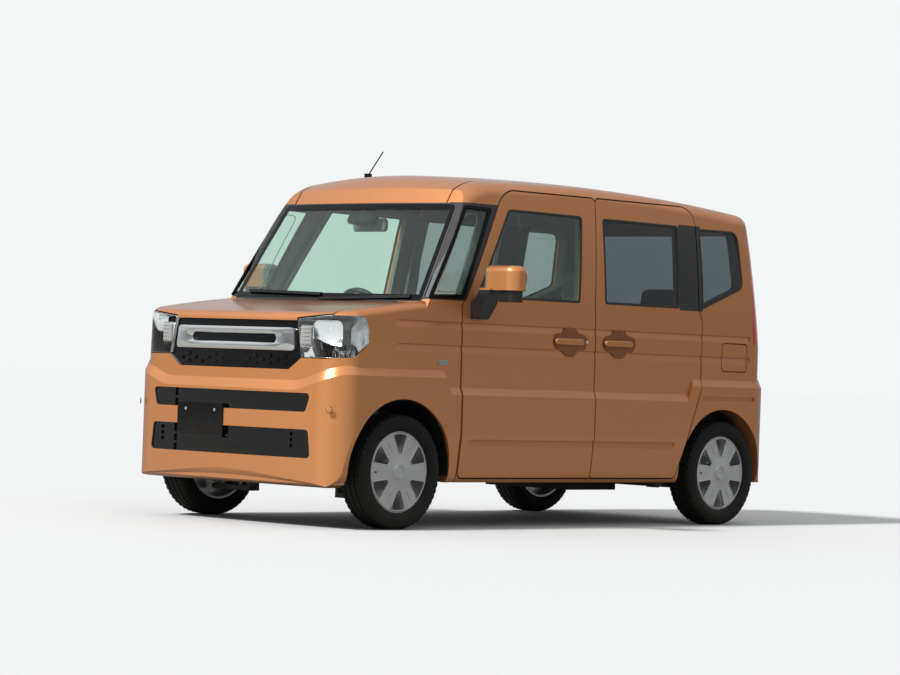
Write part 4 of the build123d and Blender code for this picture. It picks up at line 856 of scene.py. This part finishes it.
def makeBarFace(count=160):
    angle = np.linspace(0, 2 * math.pi, count, endpoint=False)
    outer = evenly(softOutline(barFace["outline"]), 720)
    inner = evenly(roundedLoop(*barFace["slot"], 24) + np.array([0, barFace["slotZ"]]), 720)
    # both loops are read in the same order of stretched angle, so their points pair up
    pair = []
    for loop in (outer, inner):
        a = np.arctan2((loop[:, 1] - barFace["slotZ"]) * 6, loop[:, 0]) % (2 * math.pi)
        order = np.argsort(a)
        a, loop = a[order], loop[order]
        pair.append(np.stack([np.interp(angle, a, loop[:, 0], period=2 * math.pi),
                              np.interp(angle, a, loop[:, 1], period=2 * math.pi)], -1))
    s = np.linspace(0, 1, barFace["steps"])[None, :, None]
    across = pair[0][:, None] * (1 - s) + pair[1][:, None] * s
    swell = 0.0006 + barFace["swell"] * np.sin(math.pi * s[..., 0]) ** 0.7
    front = np.stack([noseX(across[..., 0], across[..., 1]) + swell, across[..., 0], across[..., 1]], -1)
    back = front[:, ::-1].copy()
    back[..., 0] = noseX(back[..., 1], back[..., 2]) - 0.003
    ringPiece("grilleBarFace", np.concatenate([front, back], 1), "shell", chrome,
              wrapRings=True, sharp=40.0)


makeBarFace()

# Handle dishes: within a soft union of a long oval and an upright one, the paint sinks as one minus a power
# of the radius. The dish takes a darker copy of the copper paint, as painted shade in the recess
dish = {"z": 0.946, "places": {"front": (0.003, "door"), "rear": (-0.380, "shell")}, "deep": 0.0172,
        "long": (0.1365, 0.0445), "tall": (0.0585, 0.0775), "blend": 7}


def makeDish(name, x, side, body, rows=16, count=128):
    a = np.linspace(0, 2 * math.pi, count, endpoint=False)
    c, s = np.abs(np.cos(a)), np.abs(np.sin(a))
    reach = []
    for hx, hz in (dish["long"], dish["tall"]):
        reach.append(1 / ((c / hx) ** 3 + (s / hz) ** 3) ** (1 / 3))
    edge = (reach[0] ** dish["blend"] + reach[1] ** dish["blend"]) ** (1 / dish["blend"])
    t = np.linspace(1, 0.05, rows)[:, None]
    sink = -dish["deep"] * (1 - t ** 4) ** 0.7 + 0.0005
    px, pz = x + t * edge * np.cos(a), dish["z"] + t * edge * np.sin(a)
    front = np.stack([px, side * (sideHalfWidth(pz) + sink), pz], -1)
    rim = front[:1].copy()
    rim[..., 1] -= side * 0.001
    floorRing = front[-1:].copy()
    floorRing[..., 1] -= side * 0.001
    ringPiece(name, np.concatenate([rim, front, floorRing]), body, dishShadePaint, sharp=60.0)


for hand, side in (("left", 1), ("right", -1)):
    for which, (x, owner) in dish["places"].items():
        makeDish(f"handleDish_{which}_{hand}", x, side, f"door_{hand}" if owner == "door" else "shell")
print("bar and handle dishes made")


# Small fittings outside: a blank plate with a raised rim and two bolts, on a bracket that reaches the bumper
plate = {"centre": (1.7000, -0.180, 0.494), "size": (0.1655, 0.0830, 0.009)}
stackedPlate("numberPlate", plate["centre"], plate["size"],
             [(-0.001, 0.001), (0, 0), (0.0022, 0), (0.0030, 0.0008), (0.0030, 0.0035), (0.0016, 0.0050)],
             0, 0, "shell", satinBlack)
stackedPlate("plateBracket", (1.655, -0.180, 0.500), (0.130, 0.045, 0.008), [(0, 0), (0.0445, 0)], 0, 0,
             "shell", blackPlastic)
for k, y in enumerate((-0.285, -0.075)):
    stackedPlate(f"plateBolt{k}", (1.7016, y, 0.545), (0.0075, 0.0075, 0.0074),
                 [(0, 0), (0.0022, 0), (0.0032, 0.002)], 0, 0, "shell", chrome)

for hand, side in (("left", 1), ("right", -1)):
    face = 90 * side
    stackedPlate(f"sideRepeater_{hand}", (0.933, side * 0.7195, 0.815), (0.035, 0.014, 0.0138), [(0, 0),
        (0.0045, 0), (0.0065, 0.002), (0.0075, 0.007)], face, 0, "shell", clearIndicator)
    sensor = np.array([1.6560, side * 0.6795, 0.570])
    stackedPlate(f"cornerSensor_{hand}", sensor, (0.0135, 0.0135, 0.0134),
                 [(-0.004, 0), (0.0012, 0), (0.0018, 0.001)], side * 41, 0, "shell", bodyPaint)
    turn = np.linspace(0, 2 * math.pi, 40, endpoint=False)
    right, up, out = formAxes(side * 41)
    seam = sensor + 0.0145 * (np.cos(turn)[:, None] * right + np.sin(turn)[:, None] * up)
    tubePiece(f"sensorSeam_{hand}", seam, 0.0012, "shell", sealRubber, sides=6)
    stackedPlate(f"mirrorGlass_{hand}", (0.6315, side * 0.8865, 1.241), (0.094, 0.050, 0.030), [(0, 0),
        (0.0035, 0), (0.0045, 0.001), (0.0045, 0.004)], 180, 0, f"door_{hand}", mirrorFace)
stackedPlate("doorLock", (-0.110, 0.7365, 0.946), (0.0075, 0.0075, 0.0074), [(0, 0), (0.002, 0),
    (0.0028, 0.001), (0.0022, 0.003)], 90, 0, "door_left", chrome)
stackedPlate("highStopLamp", (-1.5980, 0, 1.600), (0.110, 0.009, 0.008), [(0, 0), (0.006, 0), (0.008, 0.002)],
             180, 5.2, "tailgate", redLens)
print("outside fittings made")


# Seats: every pad is a superellipsoid, so its form is crowned and closed. Its sides pull in between the
# corners, sewn channels are narrow dips along chosen lines, and bolsters rise toward both sides
seats = {
    "cushion": {"half": (0.255, 0.235, 0.082), "square": (0.42, 0.62), "bolster": 0.026, "pull": 0.018,
                "channels": (-0.105, 0.105)},
    "back": {"half": (0.300, 0.225, 0.072), "square": (0.40, 0.62), "bolster": 0.034, "pull": 0.016,
             "channels": (-0.100, 0.100)},
    "rest": {"half": (0.085, 0.120, 0.048), "square": (0.50, 0.60), "bolster": 0.0, "pull": 0.010,
             "channels": ()},
    "bench": {"half": (0.240, 0.515, 0.080), "square": (0.30, 0.62), "bolster": 0.012, "pull": 0.016,
              "channels": (-0.17, 0.0, 0.17)},
    "benchBack": {"half": (0.290, 0.512, 0.062), "square": (0.30, 0.62), "bolster": 0.014, "pull": 0.014,
                  "channels": (-0.17, 0.0, 0.17)},
    "benchRest": {"half": (0.062, 0.128, 0.040), "square": (0.50, 0.60), "bolster": 0.0, "pull": 0.008,
                  "channels": ()},
}


def signedPower(v, p):
    return np.sign(v) * np.abs(v) ** p


def makePad(name, kind, centre, tilt, replaced=None):
    k = seats[kind]
    hx, hy, hz = k["half"]
    v = np.linspace(-math.pi / 2, math.pi / 2, 34)[1:-1, None]
    u = np.linspace(0, 2 * math.pi, 96, endpoint=False)[None, :]
    e, f = k["square"]
    cv = signedPower(np.cos(v), f)
    x, y = cv * signedPower(np.cos(u), e), cv * signedPower(np.sin(u), e)
    z = signedPower(np.sin(v), f) + 0 * u
    waist = 1 - k["pull"] / hy * (1 - np.abs(np.sin(2 * u))) * (1 - np.abs(z))
    top = np.clip(z, 0, 1)
    across, along = y * hy * waist, x * hx * waist
    swelling = np.clip((np.abs(y) - 0.45) / 0.4, 0, 1) ** 2 * (1 - np.clip((np.abs(y) - 0.8) / 0.2, 0, 1))
    rise = k["bolster"] * swelling * top
    dip = sum((0.006 * np.exp(-((across - c) / 0.006) ** 2) for c in k["channels"]), 0 * across)
    dip = dip + 0.004 * np.exp(-((along - 0.35 * hx) / 0.007) ** 2) * (len(k["channels"]) > 0)
    seam = 0.0035 * np.exp(-((z - 0.25) / 0.05) ** 2)
    flatBase = np.where(z < 0, 0.86, 1.0)
    local = np.stack([along * (1 - seam / hx), across * (1 - seam / hy),
                      hz * z * flatBase + rise - dip * top], -1)
    a = math.radians(tilt)
    axes = np.array([[math.cos(a), 0, math.sin(a)], [0, 1, 0], [-math.sin(a), 0, math.cos(a)]])
    rings = local @ axes + np.array(centre)
    pad = ringPiece(name, rings, "shell", seatCloth, sharp=60.0)
    if replaced:
        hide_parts(replaced)
    return pad


for hand, side in (("left", 1), ("right", -1)):
    y = 0.35 * side
    makePad(f"seatCushion_{hand}", "cushion", (-0.075, y, 0.515), 4, "front_seats" if side > 0 else None)
    makePad(f"seatBack_{hand}", "back", (-0.415, y, 0.845), 101)
    makePad(f"headRest_{hand}", "rest", (-0.480, y, 1.235), 98)
    for s in (-0.06, 0.06):
        post = np.array([(-0.487, y + s, 1.185), (-0.480, y + s, 1.140), (-0.473, y + s, 1.095)])
        tubePiece(f"restPost_{hand}{'A' if s < 0 else 'B'}", post, 0.006, "shell", steelMetal,
                  closed=False)
    stackedPlate(f"seatBase_{hand}", (-0.11, y, 0.256), (0.20, 0.19, 0.02),
                 [(0, 0), (0.15, 0.01), (0.19, 0.03)], 0, 90, "shell", trimGrey)
makePad("benchCushion", "bench", (-0.845, 0, 0.510), 3, "rear_seat")
makePad("benchBack", "benchBack", (-1.150, 0, 0.840), 99)
stackedPlate("benchBase", (-0.87, 0, 0.256), (0.47, 0.20, 0.02), [(0, 0), (0.18, 0.01)], 0, 90, "shell",
             trimGrey)
for hand, y in (("left", 0.29), ("right", -0.29)):
    makePad(f"benchRest_{hand}", "benchRest", (-1.205, y, 1.200), 97)
    for s in (-0.05, 0.05):
        post = np.array([(-1.207, y + s, 1.165), (-1.200, y + s, 1.130), (-1.193, y + s, 1.090)])
        tubePiece(f"benchPost_{hand}{'A' if s < 0 else 'B'}", post, 0.006, "shell", steelMetal,
                  closed=False)
print("seats made")


# Cabin fittings: mirror, camera housing, visors, screen, meter hood and vents
def cabinPlate(name, centre, size, layers, azimuth, elevation, material):
    return stackedPlate(name, centre, size, layers, azimuth, elevation, "shell", material)


cabinPlate("cabinMirror", (0.760, 0, 1.500), (0.118, 0.034, 0.020),
           [(0, 0.004), (0.006, 0), (0.018, 0), (0.024, 0.004)], 180, 0, trimGrey)
stackedPlate("cabinMirrorGlass", (0.7365, 0, 1.500), (0.112, 0.029, 0.018), [(0, 0), (0.001, 0)], 180, 0,
             "shell", mirrorFace)
tubePiece("cabinMirrorStem", np.array([(0.752, 0, 1.505), (0.775, 0, 1.535), (0.800, 0, 1.575)]), 0.009,
          "shell", trimGrey, closed=False)
cabinPlate("cameraHousing", (0.800, 0, 1.545), (0.095, 0.050, 0.025),
           [(-0.030, 0.012), (0, 0), (0.012, 0.004)], 0, 31, satinBlack)
for hand, side in (("left", 1), ("right", -1)):
    cabinPlate(f"sunVisor_{hand}", (0.665, side * 0.330, 1.640), (0.185, 0.070, 0.022),
               [(0, 0.003), (0.003, 0), (0.013, 0), (0.016, 0.003)], 0, 62, lightTrim)
cabinPlate("centreScreen", (0.668, 0, 0.985), (0.115, 0.070, 0.008),
           [(0, 0), (0.014, 0), (0.016, 0.002), (0.015, 0.004)], 180, 8, satinBlack)
cabinPlate("meterHood", (0.690, -0.330, 1.045), (0.160, 0.045, 0.040),
           [(0, 0.004), (0.02, 0), (0.075, 0), (0.082, 0.006), (0.070, 0.012)], 180, 6, trimGrey)
for k, y in enumerate((-0.60, -0.15, 0.15, 0.60)):
    cabinPlate(f"vent{k}", (0.668, y, 0.885), (0.050, 0.030, 0.010),
               [(0, 0), (0.012, 0), (0.014, 0.002), (0.010, 0.005)], 180, 0, blackPlastic)
for hand, side in (("left", 1), ("right", -1)):
    stackedPlate(f"armRest_{hand}", (0.20, side * 0.640, 0.830), (0.200, 0.030, 0.020), [(0, 0.004),
        (0.008, 0), (0.040, 0), (0.050, 0.010)], -90 * side, 0, f"door_{hand}", trimGrey)

# Steering wheel: a thick ring, three flattened spokes that curve out to it and a soft middle, about the
# column's own axis
wheelSet = {"centre": (0.4356, -0.330, 1.0124), "axis": (-0.9203, 0.0, 0.3911), "radius": 0.178,
            "grip": 0.0145}
ahead = np.array(wheelSet["axis"])
wide = np.array([0.0, 1.0, 0.0])
downward = np.cross(ahead, wide)
turn = np.linspace(0, 2 * math.pi, 96, endpoint=False)[:, None]
mid = np.array(wheelSet["centre"])
ring = mid + wheelSet["radius"] * (np.cos(turn) * wide + np.sin(turn) * downward)
grip = tubePiece("steeringRing", ring, wheelSet["grip"], "steering_wheel", blackPlastic,
                 sides=14)
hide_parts("steering_wheel")
for k, angle in enumerate((0, 180, 270)):
    a = math.radians(angle)
    reach = math.cos(a) * wide - math.sin(a) * downward
    run = np.linspace(0.03, wheelSet["radius"] - 0.004, 9)[:, None]
    tubePiece(f"steeringSpoke{k}",
              mid - 0.012 * ahead + run * reach + 0.012 * (run / wheelSet["radius"]) ** 2 * ahead, 0.017,
              "steering_wheel", blackPlastic, closed=False, sides=12, flat=0.5)
rings = [mid + lift * ahead + r * (np.cos(turn) * wide + np.sin(turn) * downward)
         for r, lift in ((0.030, -0.065), (0.052, -0.030), (0.060, -0.010), (0.060, 0.002), (0.052, 0.010),
                         (0.026, 0.014))]
ringPiece("steeringHub", np.array(rings), "steering_wheel", blackPlastic)
tubePiece("steeringShaft", np.array([mid - 0.20 * ahead, mid - 0.12 * ahead, mid - 0.05 * ahead]), 0.0115,
          "steering_wheel", steelMetal, closed=False)
print("cabin made")

# Door mirror finish: paint above, black foot below
mirrorPaint = makePaint("copperPaintWithBlackFoot", False)
tree = mirrorPaint.node_tree
shell = tree.nodes["Principled BSDF"]
foot = placeGroup(tree, band, Front=3.0, Rear=-3.0, Low=0.0, High=1.1805)
for socket in ("Base Color", "Metallic", "Coat Weight"):
    was = shell.inputs[socket].links[0].from_socket
    if socket == "Base Color":
        wire(tree, mixColours(tree, foot.outputs["Mask"], was, paint["black"]), shell.inputs[socket])
    else:
        wire(tree, times(tree, was, minus(tree, 1.0, foot.outputs["Mask"])), shell.inputs[socket])
for hand in ("left", "right"):
    mesh = cadNodes["mirror_" + hand].data
    mesh.materials.clear()
    mesh.materials.append(mirrorPaint)


# Studio: a pale floor, a soft sky for the object, and white for the camera
floorSize = 300
floorMesh = bpy.data.meshes.new("floor")
floorMesh.from_pydata([(-floorSize, -floorSize, 0), (floorSize, -floorSize, 0), (floorSize, floorSize, 0),
                       (-floorSize, floorSize, 0)], [], [(0, 1, 2, 3)])
floor = bpy.data.objects.new("floor", floorMesh)
bpy.context.collection.objects.link(floor)
floorPaint, tree, shade = newMaterial("floorPale", Roughness=0.85)
speckle = shaderNode(tree, "TexNoise", {"Scale": 40.0, "Detail": 4.0})
wire(tree, shaderNode(tree, "TexCoord").outputs["Object"], speckle.inputs["Vector"])
pale = mixColours(tree, speckle.outputs["Fac"], (0.53, 0.53, 0.525), (0.57, 0.57, 0.565))
seen = shaderNode(tree, "LightPath").outputs["Is Camera Ray"]
wire(tree, mixColours(tree, seen, (0.26, 0.26, 0.23), pale), shade.inputs["Base Color"])
floorMesh.materials.append(floorPaint)

world = bpy.data.worlds.new("studio")
bpy.context.scene.world = world
world.use_nodes = True
tree = world.node_tree
sky = tree.nodes["Background"]
height = shaderNode(tree, "SeparateXYZ")
wire(tree, shaderNode(tree, "TexCoord").outputs["Generated"], height.inputs[0])
ramp = shaderNode(tree, "MapRange", {"From Min": -0.02, "From Max": 0.62, "To Min": 0.22, "To Max": 0.80})
behind = plus(tree, times(tree, height.outputs["X"], -0.30), times(tree, height.outputs["Y"], -0.42))
wire(tree, plus(tree, height.outputs["Z"], mathNode(tree, "MAXIMUM", behind, 0.0)), ramp.inputs["Value"])
wire(tree, mixColours(tree, ramp.outputs[0], (0.60, 0.62, 0.62), (0.93, 0.97, 1.0)), sky.inputs["Color"])
wire(tree, ramp.outputs[0], sky.inputs["Strength"])
plain = shaderNode(tree, "Background", {"Color": (0.90, 0.92, 0.92, 1), "Strength": 1.0})
pick = shaderNode(tree, "MixShader")
path = shaderNode(tree, "LightPath")
seen = mathNode(tree, "MAXIMUM", path.outputs["Is Camera Ray"],
                times(tree, path.outputs["Is Transmission Ray"], 0.9))
wire(tree, seen, pick.inputs[0])
wire(tree, sky.outputs[0], pick.inputs[1])
wire(tree, plain.outputs[0], pick.inputs[2])
wire(tree, pick.outputs[0], tree.nodes["World Output"].inputs["Surface"])

# Sun from ahead and above, and a wide soft lamp over the near side
lights = {"sun": ((1.0, -0.10, 0.95), 4.4, 0.12), "fill": ((0.2, 1.0, 0.5), 0.10, 1.2)}
for name, (toward, power, spread) in lights.items():
    data = bpy.data.lights.new(name, "SUN")
    data.energy = power
    data.angle = spread
    lamp = bpy.data.objects.new(name, data)
    lamp.rotation_euler = Vector(toward).to_track_quat("Z", "Y").to_euler()
    bpy.context.collection.objects.link(lamp)
print("studio lit")
